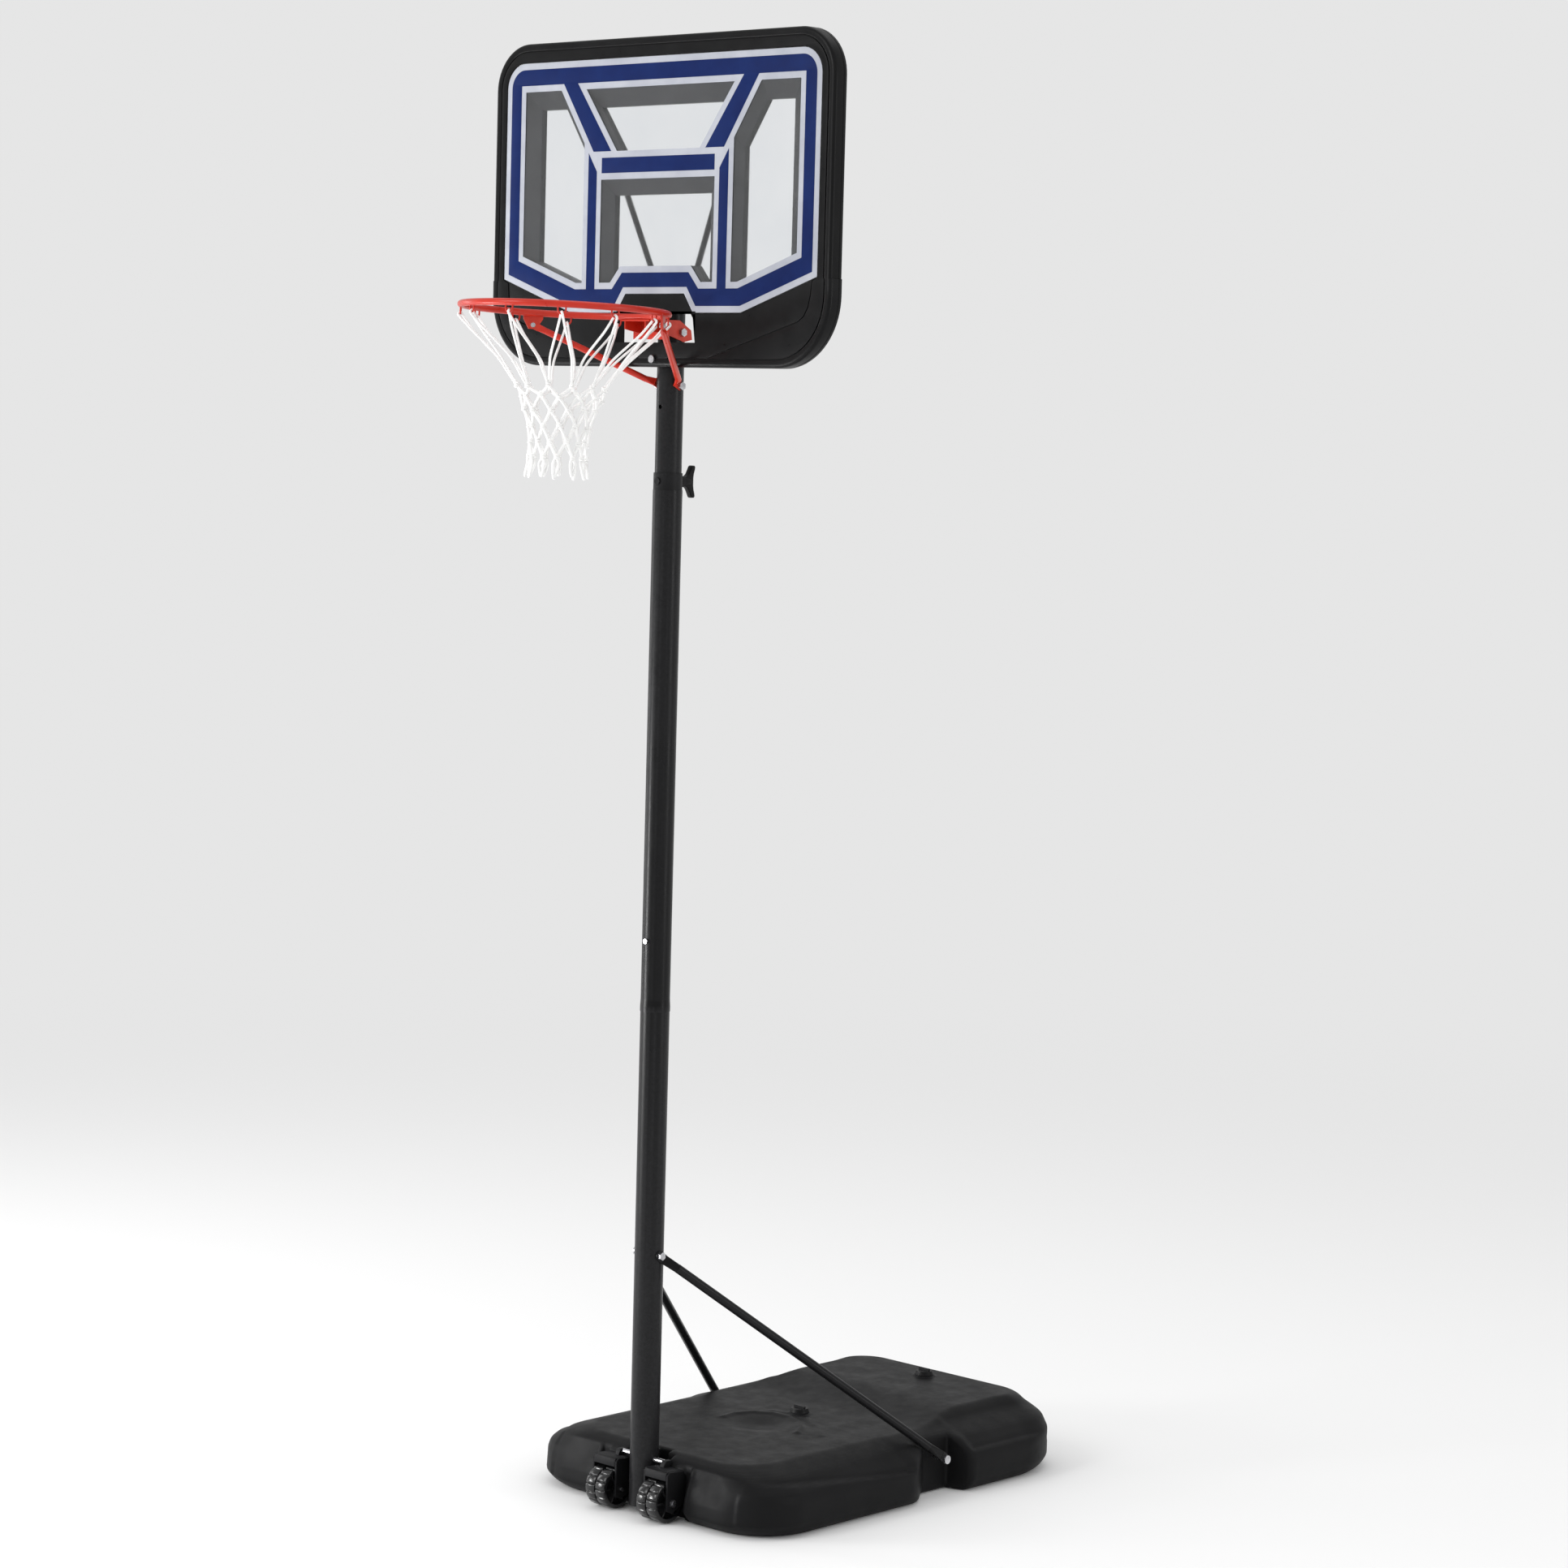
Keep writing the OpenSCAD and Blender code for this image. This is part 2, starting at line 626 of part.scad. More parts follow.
module board_frame() color([0.12, 0.12, 0.125]) placed() difference() {
  union() {
    difference() {
      translate([0, 0, board_z]) along_y(face_y, back_y) board_outline(0);
      translate([0, 0, board_z]) {
        along_y(face_y - eps, face_y + sheet_recess) sheet_outline(0);
        for (w = windows) {
          along_y(face_y, face_y + sheet_recess + ledge_depth) polygon(front_of(w, 0));
          along_y(face_y, back_y + eps) polygon(back_of(w, 0));
        }
        along_y(face_y - eps, back_y + eps) polygon(port);
        along_y(face_y + sheet_recess + frame_wall, back_y + eps) difference() {
          board_outline(frame_wall);
          for (w = windows) polygon(front_of(w, -frame_wall));
          polygon(inset(port, -frame_wall));
        }
        along_y(face_y + sheet_recess + ledge_depth + frame_wall, back_y + eps) difference() {
          board_outline(frame_wall);
          for (w = windows) polygon(back_of(w, -frame_wall));
          polygon(inset(port, -frame_wall));
        }
      }
    }
    pole_block();
    for (s = [-1, 1]) pin_y(face_y + sheet_recess + eps, back_y, s * brace_top_x, brace_top_z, 26);
  }
  translate([0, 0, board_z - eps]) cylinder(h = upper_top + 8 - board_z, r = upper_r + 0.4);
  pin_y(face_y - eps, 0, 0, low_screw_z, 8 + 2 * slip);
  for (s = [-1, 1]) pin_y(back_y - 22, back_y + eps, s * brace_top_x, brace_top_z, 6 + 2 * slip);
}

module board_sheet() color([0.85, 0.9, 0.95, 0.35]) placed()
  translate([0, 0, board_z]) along_y(face_y + sheet_recess - sheet_t, face_y + sheet_recess)
    sheet_outline(0.6);

// a tube with flattened ends, from the pole's side up to the back of the frame
module board_brace(s) {
  a = [s * (plate_x + plate_t / 2), 0, board_bolt_z];
  b = [s * brace_top_x, back_y + zip + plate_t / 2, brace_top_z];
  u = unit(b - a);
  p = a + 40 * u + [0, 12, 0];
  q = b - 40 * u + [0, 9, 0];
  da = unit([0, 1]);
  db = unit([abs(a.x - b.x), a.z - b.z]);
  v = unit(q - p);
  difference() {
    union() {
      rod(p, q, board_brace_d);
      tab(a, 0, da, brace_tab, brace_tab, plate_t);
      tab(b, s * 90, db, brace_tab, brace_tab, plate_t);
      drawn_end(a, 0, da, brace_tab, brace_tab, plate_t, p, v, board_brace_d);
      drawn_end(b, s * 90, db, brace_tab, brace_tab, plate_t, q, -v, board_brace_d);
    }
    pin_x(a.x - plate_t, a.x + plate_t, a.y, a.z, bolt_d + 2 * slip);
    pin_y(b.y - plate_t, b.y + plate_t, b.x, b.z, 6 + 2 * slip);
  }
}

module board_brace_left() color([0.14, 0.14, 0.14]) placed() board_brace(-1);

module board_brace_right() color([0.14, 0.14, 0.14]) placed() board_brace(1);

module board_brace_bolt() color([0.8, 0.8, 0.82]) placed()
  cross_bolt(plate_x + plate_t, 0, board_bolt_z, bolt_d);

module board_brace_screws() color([0.8, 0.8, 0.82]) placed() for (s = [-1, 1]) {
  pin_y(back_y - 18, back_y + zip + plate_t, s * brace_top_x, brace_top_z, 6);
  pin_y(back_y + zip + plate_t, back_y + zip + plate_t + 4, s * brace_top_x, brace_top_z, 12);
}

module board_pole_bolt() color([0.8, 0.8, 0.82]) placed() {
  pin_y(face_y - 1, upper_r + 3, 0, low_screw_z, 8);
  pin_y(face_y - 5, face_y, 0, low_screw_z, 18);
  translate([0, upper_r + 8, low_screw_z]) rotate([90, 0, 0]) cylinder(h = 6.5, d = 15, $fn = 6);
}

// ---------------------------------------------------------------- rim

module at_ring() { translate([0, ring_y, rim_height]) rotate([-ring_tilt, 0, 0]) children(); }

// a small wire loop under the ring that holds one loop of the net
module net_hook() {
  rotate([90, 0, 0]) rotate_extrude(angle = 180, start = 180) translate([9, 0]) circle(d = 4, $fn = 24);
  for (s = [-1, 1]) translate([9 * s, 0, 0]) cylinder(h = 7, d = 4, $fn = 24);
}

module rim_ring() color([0.84, 0.22, 0.16]) placed() {
  at_ring() {
    rotate_extrude($fn = 128) translate([ring_r, 0]) circle(d = ring_rod, $fn = 32);
    for (i = [0:11]) rotate(15 + 30 * i) translate([0, -ring_r, -ring_rod / 2 - 5]) net_hook();
  }
  for (s = [-1, 1]) translate(rim_brace_end(s)) rotate(s * gusset_yaw) difference() {
    along_x(s * gusset_shift - gusset_t / 2, s * gusset_shift + gusset_t / 2)
      polygon([[-10, -9], [9, -9], [24, 14], [24, 27], [-22, 27], [-22, 14]]);
    pin_x(-20, 20, 0, 0, 6 + 2 * slip);
  }
}

// the plates that tie the ring to the pole through the opening in the board
module rim_bracket() color([0.84, 0.22, 0.16]) placed() {
  top_z = rim_height - ring_r * sin(ring_tilt);
  difference() {
    union() {
      for (s = [-1, 1]) along_x(s * (plate_x + plate_t / 2) - plate_t / 2, s * (plate_x + plate_t / 2) + plate_t / 2)
        polygon([[bracket_front, top_z - 10], [bracket_front, top_z - 28], [face_y - 10, rim_height - 45],
          [face_y + 14, rim_height - 47], [7, rim_bolt_z - 22], [34, rim_bolt_z - 16], [30, rim_bolt_z + 6],
          [-8, top_z - 4], [face_y, top_z - 4]]);
      translate([-shelf_x, bracket_front, top_z - 10]) cube([2 * shelf_x, 34, 4]);
      translate([-plate_x - 26, face_y - 7, top_z - 50]) cube([2 * plate_x + 52, 4, 44]);
      translate([-plate_x - 26, bracket_front + 33, top_z - 10]) cube([2 * plate_x + 52, face_y - 7 - bracket_front - 32, 4]);
    }
    at_ring() rotate_extrude($fn = 128) translate([ring_r, 0]) circle(d = ring_rod + 0.1, $fn = 32);
    pin_x(-pole_d, pole_d, 0, rim_bolt_z, bolt_d + 2 * slip);
  }
}

// a tube with flattened ends, from a gusset on the ring to the pole's side
module rim_brace(s) {
  a = [s * (plate_x + plate_t / 2), 0, brace_z];
  b = rim_brace_end(s);
  u = unit(b - a);
  p = a + 36 * u;
  q = b - 34 * u;
  da = unit([u.y, u.z]);
  db = unit([norm([u.x, u.y]), -u.z]);
  difference() {
    union() {
      rod(p, q, brace_d);
      tab(a, 0, da, brace_tab, brace_tab, plate_t);
      tab(b, s * gusset_yaw, db, brace_tab - 4, brace_tab - 3, plate_t);
      drawn_end(a, 0, da, brace_tab, brace_tab, plate_t, p, u, brace_d);
      drawn_end(b, s * gusset_yaw, db, brace_tab - 4, brace_tab - 3, plate_t, q, -u, brace_d);
    }
    pin_x(a.x - plate_t, a.x + plate_t, a.y, a.z, bolt_d + 2 * slip);
    translate(b) rotate(s * gusset_yaw) pin_x(-plate_t, plate_t, 0, 0, 6 + 2 * slip);
  }
}

module rim_brace_left() color([0.84, 0.22, 0.16]) placed() rim_brace(-1);

module rim_brace_right() color([0.84, 0.22, 0.16]) placed() rim_brace(1);

module rim_bracket_bolt() color([0.8, 0.8, 0.82]) placed() cross_bolt(plate_x + plate_t, 0, rim_bolt_z, bolt_d);

module rim_brace_bolt() color([0.8, 0.8, 0.82]) placed() cross_bolt(plate_x + plate_t, 0, brace_z, bolt_d);

module rim_brace_rivets() color([0.8, 0.8, 0.82]) placed() for (s = [-1, 1])
  translate(rim_brace_end(s)) rotate(s * gusset_yaw) rotate(s < 0 ? 180 : 0) {
    outer = gusset_shift + gusset_t / 2;
    pin_x(-plate_t / 2 - 2, outer + 2, 0, 0, 6);
    pin_x(-plate_t / 2 - 3, -plate_t / 2, 0, 0, 11);
    pin_x(outer, outer + 3, 0, 0, 11);
  }

// the space that the corded net fills, as a thin skin
module net() color([0.95, 0.95, 0.95]) placed() {
  profile = [[ring_r - 12, -24], [168, -0.25 * net_l], [92, -0.52 * net_l], [66, -0.75 * net_l],
    [63, -0.88 * net_l], [70, -net_l]];
  at_ring() rotate_extrude($fn = 48) polygon(concat(profile,
    [for (i = [len(profile) - 1:-1:0]) profile[i] - [3, 0]]));
}

base_tank();
ballast_fill();
filler_cap_front();
filler_cap_rear();
wheel_left();
wheel_right();
wheel_axle_left();
wheel_axle_right();
pole_base_rod();
bottom_pole();
middle_pole();
pole_joint_screw();
pole_collar();
height_knob();
height_screw();
strut_left();
strut_right();
strut_top_bolt();
strut_base_bolts();
upper_pole();
lower_guide();
pole_top_cap();
board_frame();
board_sheet();
board_brace_left();
board_brace_right();
board_brace_bolt();
board_brace_screws();
board_pole_bolt();
rim_ring();
rim_bracket();
rim_brace_left();
rim_brace_right();
rim_bracket_bolt();
rim_brace_bolt();
rim_brace_rivets();
net();
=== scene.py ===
import math
import random

import bmesh
import bpy
import numpy as np
from mathutils import Matrix, Vector


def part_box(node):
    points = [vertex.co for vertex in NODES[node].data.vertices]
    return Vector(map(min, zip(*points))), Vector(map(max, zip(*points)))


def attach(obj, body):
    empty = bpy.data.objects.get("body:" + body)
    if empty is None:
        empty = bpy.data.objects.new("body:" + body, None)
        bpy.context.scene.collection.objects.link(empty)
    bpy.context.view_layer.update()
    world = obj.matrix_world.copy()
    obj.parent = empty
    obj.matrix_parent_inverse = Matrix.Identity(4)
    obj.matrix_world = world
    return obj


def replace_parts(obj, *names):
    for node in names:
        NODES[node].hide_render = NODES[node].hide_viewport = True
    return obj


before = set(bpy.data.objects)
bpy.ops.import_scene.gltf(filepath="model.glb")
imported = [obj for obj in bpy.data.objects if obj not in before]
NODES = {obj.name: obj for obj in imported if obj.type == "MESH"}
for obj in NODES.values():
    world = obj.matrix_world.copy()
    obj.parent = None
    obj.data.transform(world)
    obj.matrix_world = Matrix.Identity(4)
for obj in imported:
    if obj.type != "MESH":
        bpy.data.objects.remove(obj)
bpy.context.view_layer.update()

# ---------------------------------------------------------------- places taken from the frame

MM = 0.001
POLE_Y = sum(corner.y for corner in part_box("bottom_pole")) / 2
BOARD_LOW, BOARD_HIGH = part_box("board_frame")
BOARD_Z = BOARD_LOW.z
FACE_Y = BOARD_LOW.y
# from here on plain numbers are millimetres, except where a comment says otherwise
HALF_W = BOARD_HIGH.x / MM
BOARD_H = (BOARD_HIGH.z - BOARD_LOW.z) / MM
RING_RISE = 122          # of the ring above the board's lower edge
RING_OFFSET = 284        # from the board's face to the ring's centre
RING_RADIUS = 236.6      # to the centreline of the ring's rod
RING_ROD = 16            # thickness of that rod
RING_TILT = math.radians(2)
RING_AT = Vector((0, FACE_Y - RING_OFFSET * MM, BOARD_Z + RING_RISE * MM))


# ---------------------------------------------------------------- camera, lights and floor

SKY = (0.93, 0.93, 0.93, 1)
SKY_STRENGTH = 0.85
FLOOR_RADIUS = 70        # metres
FLOOR_CLEAR = 2.5        # metres from the middle at which the floor starts to turn into sky
FLOOR_GONE = 9           # metres at which it has done so
# name, place, target, width and height in metres, and power in watts
LIGHTS = [
    ("key_front", (-2.0, -7.5, 5.6), (0, -0.3, 1.6), (2.6, 3.4), 190),
    ("strip_right", (6.2, 1.4, 2.4), (0, 0, 1.6), (0.8, 4.4), 62),
    ("strip_left", (-6.0, -1.5, 2.2), (0, 0, 1.4), (0.9, 4.0), 50),
    ("top", (0.5, 0.5, 6.6), (0, 0, 0), (3.2, 3.2), 40),
    ("low_left", (-2.9, -3.4, 0.9), (0, -0.2, 0.1), (1.4, 1.0), 105),
]


def make_camera():
    """A long lens, ahead of the board and to its right, at about three quarters of its height."""
    azimuth, pitch, roll = math.radians(43.27), math.radians(5.09), math.radians(1.55)
    level_back = Vector((math.sin(azimuth), -math.cos(azimuth), 0))
    back = level_back * math.cos(pitch) + Vector((0, 0, math.sin(pitch)))
    level = Vector((math.cos(azimuth), math.sin(azimuth), 0))
    up = back.cross(level)
    right = math.cos(roll) * level + math.sin(roll) * up
    up = -math.sin(roll) * level + math.cos(roll) * up
    data = bpy.data.cameras.new("camera")
    data.lens = 91.92
    data.sensor_width = 36
    data.clip_end = 200
    camera = bpy.data.objects.new("camera", data)
    bpy.context.scene.collection.objects.link(camera)
    at = Vector((6.681, POLE_Y - 6.671, 2.606))
    camera.matrix_world = Matrix.Translation(at) @ Matrix((right, up, back)).transposed().to_4x4()
    bpy.context.scene.camera = camera


def area_light(name, at, target, size, power):
    data = bpy.data.lights.new(name, "AREA")
    data.shape = "RECTANGLE"
    data.size, data.size_y = size
    data.energy = power
    lamp = bpy.data.objects.new(name, data)
    bpy.context.scene.collection.objects.link(lamp)
    lamp.location = at
    lamp.rotation_mode = "QUATERNION"
    lamp.rotation_quaternion = (Vector(target) - Vector(at)).to_track_quat("-Z", "Y")


def make_sky():
    world = bpy.data.worlds.new("studio")
    bpy.context.scene.world = world
    world.use_nodes = True
    background = world.node_tree.nodes["Background"]
    background.inputs["Color"].default_value = SKY
    background.inputs["Strength"].default_value = SKY_STRENGTH
    bpy.context.scene.view_settings.view_transform = "Standard"


def make_floor():
    """A pale disc just under the base that turns into the sky's colour far from the object."""
    below = (0, 0, -0.0005)
    bpy.ops.mesh.primitive_circle_add(vertices=96, radius=FLOOR_RADIUS, fill_type="NGON", location=below)
    floor = bpy.context.object
    floor.name = "floor"
    material = bpy.data.materials.new("floor")
    material.use_nodes = True
    tree = Tree(material.node_tree)
    shader = tree.nodes["Principled BSDF"]
    shader.inputs["Base Color"].default_value = (0.9, 0.9, 0.9, 1)
    shader.inputs["Roughness"].default_value = 0.75
    far = tree.add("ShaderNodeEmission", Color=SKY, Strength=SKY_STRENGTH)
    distance = tree.add("ShaderNodeVectorMath", operation="LENGTH")
    tree.link(tree.add("ShaderNodeTexCoord"), "Object", distance, 0)
    share = tree.add("ShaderNodeMapRange", interpolation_type="SMOOTHSTEP")
    share.inputs["From Min"].default_value = FLOOR_CLEAR
    share.inputs["From Max"].default_value = FLOOR_GONE
    tree.link(distance, "Value", share, "Value")
    mix = tree.add("ShaderNodeMixShader")
    tree.link(share, "Result", mix, 0)
    tree.link(shader, "BSDF", mix, 1)
    tree.link(far, "Emission", mix, 2)
    tree.link(mix, "Shader", tree.nodes["Material Output"], "Surface")
    floor.data.materials.append(material)


# ---------------------------------------------------------------- materials

def linear(code):
    """A six-digit colour code as linear red, green, blue and alpha."""
    parts = [int(code[i:i + 2], 16) / 255 for i in (0, 2, 4)]
    return (*[c / 12.92 if c <= 0.04045 else ((c + 0.055) / 1.055) ** 2.4 for c in parts], 1)


class Tree:
    """A short way to write a node tree."""

    def __init__(self, tree):
        self.tree = tree
        self.nodes = tree.nodes

    def add(self, kind, operation=None, interpolation_type=None, blend_type=None, **inputs):
        node = self.nodes.new(kind)
        if operation:
            node.operation = operation
        if interpolation_type:
            node.interpolation_type = interpolation_type
        if blend_type:
            node.data_type = "RGBA"
            node.blend_type = blend_type
        for name, value in inputs.items():
            node.inputs[name.replace("_", " ")].default_value = value
        return node

    def link(self, source, output, target, socket):
        self.tree.links.new(source.outputs[output], target.inputs[socket])

    def noise(self, coords, scale, detail=3, roughness=0.55, stretch=None):
        texture = self.add("ShaderNodeTexNoise", Scale=scale, Detail=detail, Roughness=roughness)
        if stretch:
            mapping = self.add("ShaderNodeMapping")
            mapping.inputs["Scale"].default_value = stretch
            self.link(coords, "Object", mapping, "Vector")
            self.link(mapping, "Vector", texture, "Vector")
        else:
            self.link(coords, "Object", texture, "Vector")
        return texture

    def ramp(self, source, output, low, high, a, b):
        """source's low..high turned into a..b."""
        node = self.add("ShaderNodeMapRange")
        for name, value in (("From Min", low), ("From Max", high), ("To Min", a), ("To Max", b)):
            node.inputs[name].default_value = value
        self.link(source, output, node, "Value")
        return node


def material(name, dark, light, rough, blotch, grain, bump, depth, metal=0, coat=0,
             coat_rough=0.2, specular=0.5, ior=1.45, stretch=None, edge_highlight=None):
    """A surface whose colour drifts from dark to light, with drifting gloss and a fine grain.
    blotch and grain are the drift's and the grain's scale, bump and depth the grain's strength
    and depth in metres, stretch draws the grain out, and the last argument is the colour of a painted
    highlight on sharp edges."""
    made = bpy.data.materials.new(name)
    made.use_nodes = True
    tree = Tree(made.node_tree)
    shader = tree.nodes["Principled BSDF"]
    shader.inputs["Metallic"].default_value = metal
    shader.inputs["Coat Weight"].default_value = coat
    shader.inputs["Coat Roughness"].default_value = coat_rough
    shader.inputs["Specular IOR Level"].default_value = specular
    shader.inputs["IOR"].default_value = ior
    coords = tree.add("ShaderNodeTexCoord")
    drift = tree.noise(coords, blotch, 4, 0.6)
    colour = tree.add("ShaderNodeMix", blend_type="MIX")
    colour.inputs["A"].default_value = linear(dark)
    colour.inputs["B"].default_value = linear(light)
    tree.link(tree.ramp(drift, "Fac", 0.35, 0.68, 0, 1), "Result", colour, "Factor")
    last = colour
    # painted highlight: sharp convex edges, picked out by pointiness and broken up by noise, are painted a
    # lighter colour
    if edge_highlight:
        edge = tree.add("ShaderNodeNewGeometry")
        highlight_breakup = tree.noise(coords, 140, 5, 0.7)
        sharp = tree.ramp(edge, "Pointiness", 0.53, 0.6, 0, 0.5)
        both = tree.add("ShaderNodeMath", operation="MULTIPLY")
        tree.link(sharp, "Result", both, 0)
        tree.link(highlight_breakup, "Fac", both, 1)
        highlighted_edges = tree.add("ShaderNodeMix", blend_type="MIX")
        highlighted_edges.inputs["B"].default_value = linear(edge_highlight)
        tree.link(both, "Value", highlighted_edges, "Factor")
        tree.link(colour, "Result", highlighted_edges, "A")
        last = highlighted_edges
    tree.link(last, "Result", shader, "Base Color")
    fine = tree.noise(coords, grain, 3, 0.6, stretch)
    gloss = tree.noise(coords, blotch * 4, 4, 0.65)
    varied = tree.ramp(gloss, "Fac", 0.3, 0.7, rough - 0.07, rough + 0.07)
    tree.link(varied, "Result", shader, "Roughness")
    relief = tree.add("ShaderNodeBump", Strength=bump, Distance=depth)
    tree.link(fine, "Fac", relief, "Height")
    tree.link(relief, "Normal", shader, "Normal")
    return made


def clear_material():
    made = material("clear_sheet", "F4F7FA", "FBFDFF", 0.08, blotch=3, grain=40, bump=0.02, depth=0.0003)
    shader = made.node_tree.nodes["Principled BSDF"]
    shader.inputs["Transmission Weight"].default_value = 1
    shader.inputs["IOR"].default_value = 1.49
    return made


def make_materials():
    # the last colour in a call, where given, is a painted highlight along sharp edges
    return {
        "base": material("base_plastic", "0E0E0F", "141415", 0.5, 5, 700, 0.35, 0.0005,
                         ior=1.2, edge_highlight="28282B"),
        "trim": material("trim_plastic", "0C0C0D", "121213", 0.46, 12, 900, 0.3, 0.0004,
                         ior=1.24, edge_highlight="2E2E30"),
        "frame": material("frame_plastic", "0C0C0D", "111112", 0.34, 7, 1100, 0.22, 0.0004,
                          ior=1.22, edge_highlight="38383B"),
        "lining": material("lining_plastic", "3A3A3B", "454546", 0.55, 9, 1100, 0.2, 0.0003, ior=1.25),
        "wheel": material("wheel_plastic", "0B0B0C", "131314", 0.2, 30, 500, 0.3, 0.0005,
                          coat=0.3, ior=1.35, edge_highlight="2C2C2E"),
        "paint": material("pole_paint", "09090A", "0E0E0F", 0.32, 4, 1600, 0.18, 0.0002,
                          ior=1.24, edge_highlight="3A3A3C"),
        "red": material("rim_paint", "B62413", "C82E1B", 0.34, 10, 1300, 0.2, 0.0002,
                        coat=0.2, coat_rough=0.22, specular=0.3, edge_highlight="D85A45"),
        "steel": material("bare_steel", "A9A9AC", "D2D2D5", 0.28, 60, 1500, 0.2, 0.0001,
                          metal=1, stretch=(1, 1, 12)),
        "silver": material("print_silver", "A6A9B3", "B2B5BD", 0.42, 14, 2400, 0.08, 0.0001, specular=0.3),
        "blue": material("print_blue", "061B50", "0A2259", 0.42, 14, 2400, 0.08, 0.0001, ior=1.2),
        "cord": material("net_cord", "EFEFEE", "FDFDFC", 0.85, 40, 1400, 0.5, 0.0006, specular=0.2),
        "guide": material("guide_plastic", "CFCFC6", "DDDDD6", 0.5, 12, 900, 0.2, 0.0003),
        "water": material("water", "6E8EA0", "8CAEC0", 0.2, 4, 60, 0.1, 0.001),
        "clear": clear_material(),
    }


# ---------------------------------------------------------------- building blocks

def add_piece(name, mesh, mat, body, crease=None):
    """Puts a mesh, in metres and in the row frame, into the scene as a piece that rides on a body.
    Edges sharper than crease degrees are shaded sharp, and all others smooth."""
    piece = bpy.data.objects.new(name, mesh)
    bpy.context.scene.collection.objects.link(piece)
    mesh.materials.append(mat)
    mesh.polygons.foreach_set("use_smooth", [True] * len(mesh.polygons))
    if crease:
        mesh.set_sharp_from_angle(angle=math.radians(crease))
    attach(piece, body)
    return piece


def mesh_from(name, points, faces):
    """A mesh with its doubled points merged and its faces turned outwards."""
    mesh = bpy.data.meshes.new(name)
    mesh.from_pydata([tuple(p) for p in points], [], faces)
    work = bmesh.new()
    work.from_mesh(mesh)
    bmesh.ops.remove_doubles(work, verts=work.verts, dist=1e-6)
    bmesh.ops.recalc_face_normals(work, faces=work.faces)
    work.to_mesh(mesh)
    work.free()
    return mesh


def join(name, meshes):
    """Several meshes as one."""
    work = bmesh.new()
    for mesh in meshes:
        work.from_mesh(mesh)
    made = bpy.data.meshes.new(name)
    work.to_mesh(made)
    work.free()
    return made


def slab(name, outline, holes, low, high, bevel, place):
    """A flat outline in millimetres with holes, from low to high, with rounded edges.
    place turns (u, v, w) into a point of the row frame."""
    curve = bpy.data.curves.new(name, "CURVE")
    curve.dimensions = "2D"
    curve.fill_mode = "BOTH"
    curve.extrude = (high - low) / 2 - bevel
    curve.bevel_depth = bevel
    curve.bevel_resolution = 2
    curve.offset = -bevel
    for loop in [outline, *holes]:
        spline = curve.splines.new("POLY")
        spline.points.add(len(loop) - 1)
        for point, (u, v) in zip(spline.points, loop):
            point.co = (u, v, 0, 1)
        spline.use_cyclic_u = True
    temporary = bpy.data.objects.new(name, curve)
    bpy.context.scene.collection.objects.link(temporary)
    bpy.context.view_layer.update()
    evaluated = temporary.evaluated_get(bpy.context.evaluated_depsgraph_get())
    mesh = bpy.data.meshes.new_from_object(evaluated)
    bpy.data.objects.remove(temporary)
    middle = (low + high) / 2
    points = [place(v.co.x, v.co.y, v.co.z + middle) for v in mesh.vertices]
    return mesh_from(name, points, [tuple(p.vertices) for p in mesh.polygons])


def on_board(u, v, w):
    """(x, height above the board's lower edge, depth behind its face) in millimetres to the row frame."""
    return Vector((u * MM, FACE_Y + w * MM, BOARD_Z + v * MM))


def in_pole(x, y, z):
    """Millimetres from the pole's axis on the floor to the row frame."""
    return Vector((x * MM, POLE_Y + y * MM, z * MM))


def band(name, loops):
    """A closed ring of quads through loops of equally many points, the last joined to the first."""
    count = len(loops[0])
    points = [p for loop in loops for p in loop]
    faces = []
    for i in range(len(loops)):
        a, b = i * count, (i + 1) % len(loops) * count
        for j in range(count):
            k = (j + 1) % count
            faces.append((a + j, a + k, b + k, b + j))
    return mesh_from(name, points, faces)


def lathe(name, profile, place, steps=48):
    """A closed (radius, height) profile turned about the axis that place lays down."""
    loops = []
    for radius, height in profile:
        turn = [2 * math.pi * i / steps for i in range(steps)]
        loops.append([place(radius * math.cos(a), radius * math.sin(a), height) for a in turn])
    return band(name, loops)


def rounded_box(name, low, high, bevel, place):
    """A box between two corners, with rounded edges."""
    outline = [(low[0], low[1]), (high[0], low[1]), (high[0], high[1]), (low[0], high[1])]
    return slab(name, outline, [], low[2], high[2], bevel, place)


def arc(cx, cy, radius, start, end, steps):
    """Points on an arc from one angle to another, in degrees."""
    turn = [math.radians(start + (end - start) * i / steps) for i in range(steps + 1)]
    return [(cx + radius * math.cos(a), cy + radius * math.sin(a)) for a in turn]


def inset(outline, distances):
    """Each edge of a counter-clockwise outline moved in by its own distance."""
    count = len(outline)
    if not hasattr(distances, "__len__"):
        distances = [distances] * count
    points = [Vector(p) for p in outline]
    made = []
    for i in range(count):
        before, here, after = points[i - 1], points[i], points[(i + 1) % count]
        u, v = (here - before).normalized(), (after - here).normalized()
        a = before + distances[i - 1] * Vector((-u.y, u.x))
        b = here + distances[i] * Vector((-v.y, v.x))
        cross = u.x * v.y - u.y * v.x
        if abs(cross) < 1e-6:
            made.append(tuple(b))
        else:
            made.append(tuple(a + u * (((b - a).x * v.y - (b - a).y * v.x) / cross)))
    return made


def mirrored(outline):
    """An outline's other half, so that the two together run on round the whole."""
    return [(-x, y) for x, y in reversed(outline)]


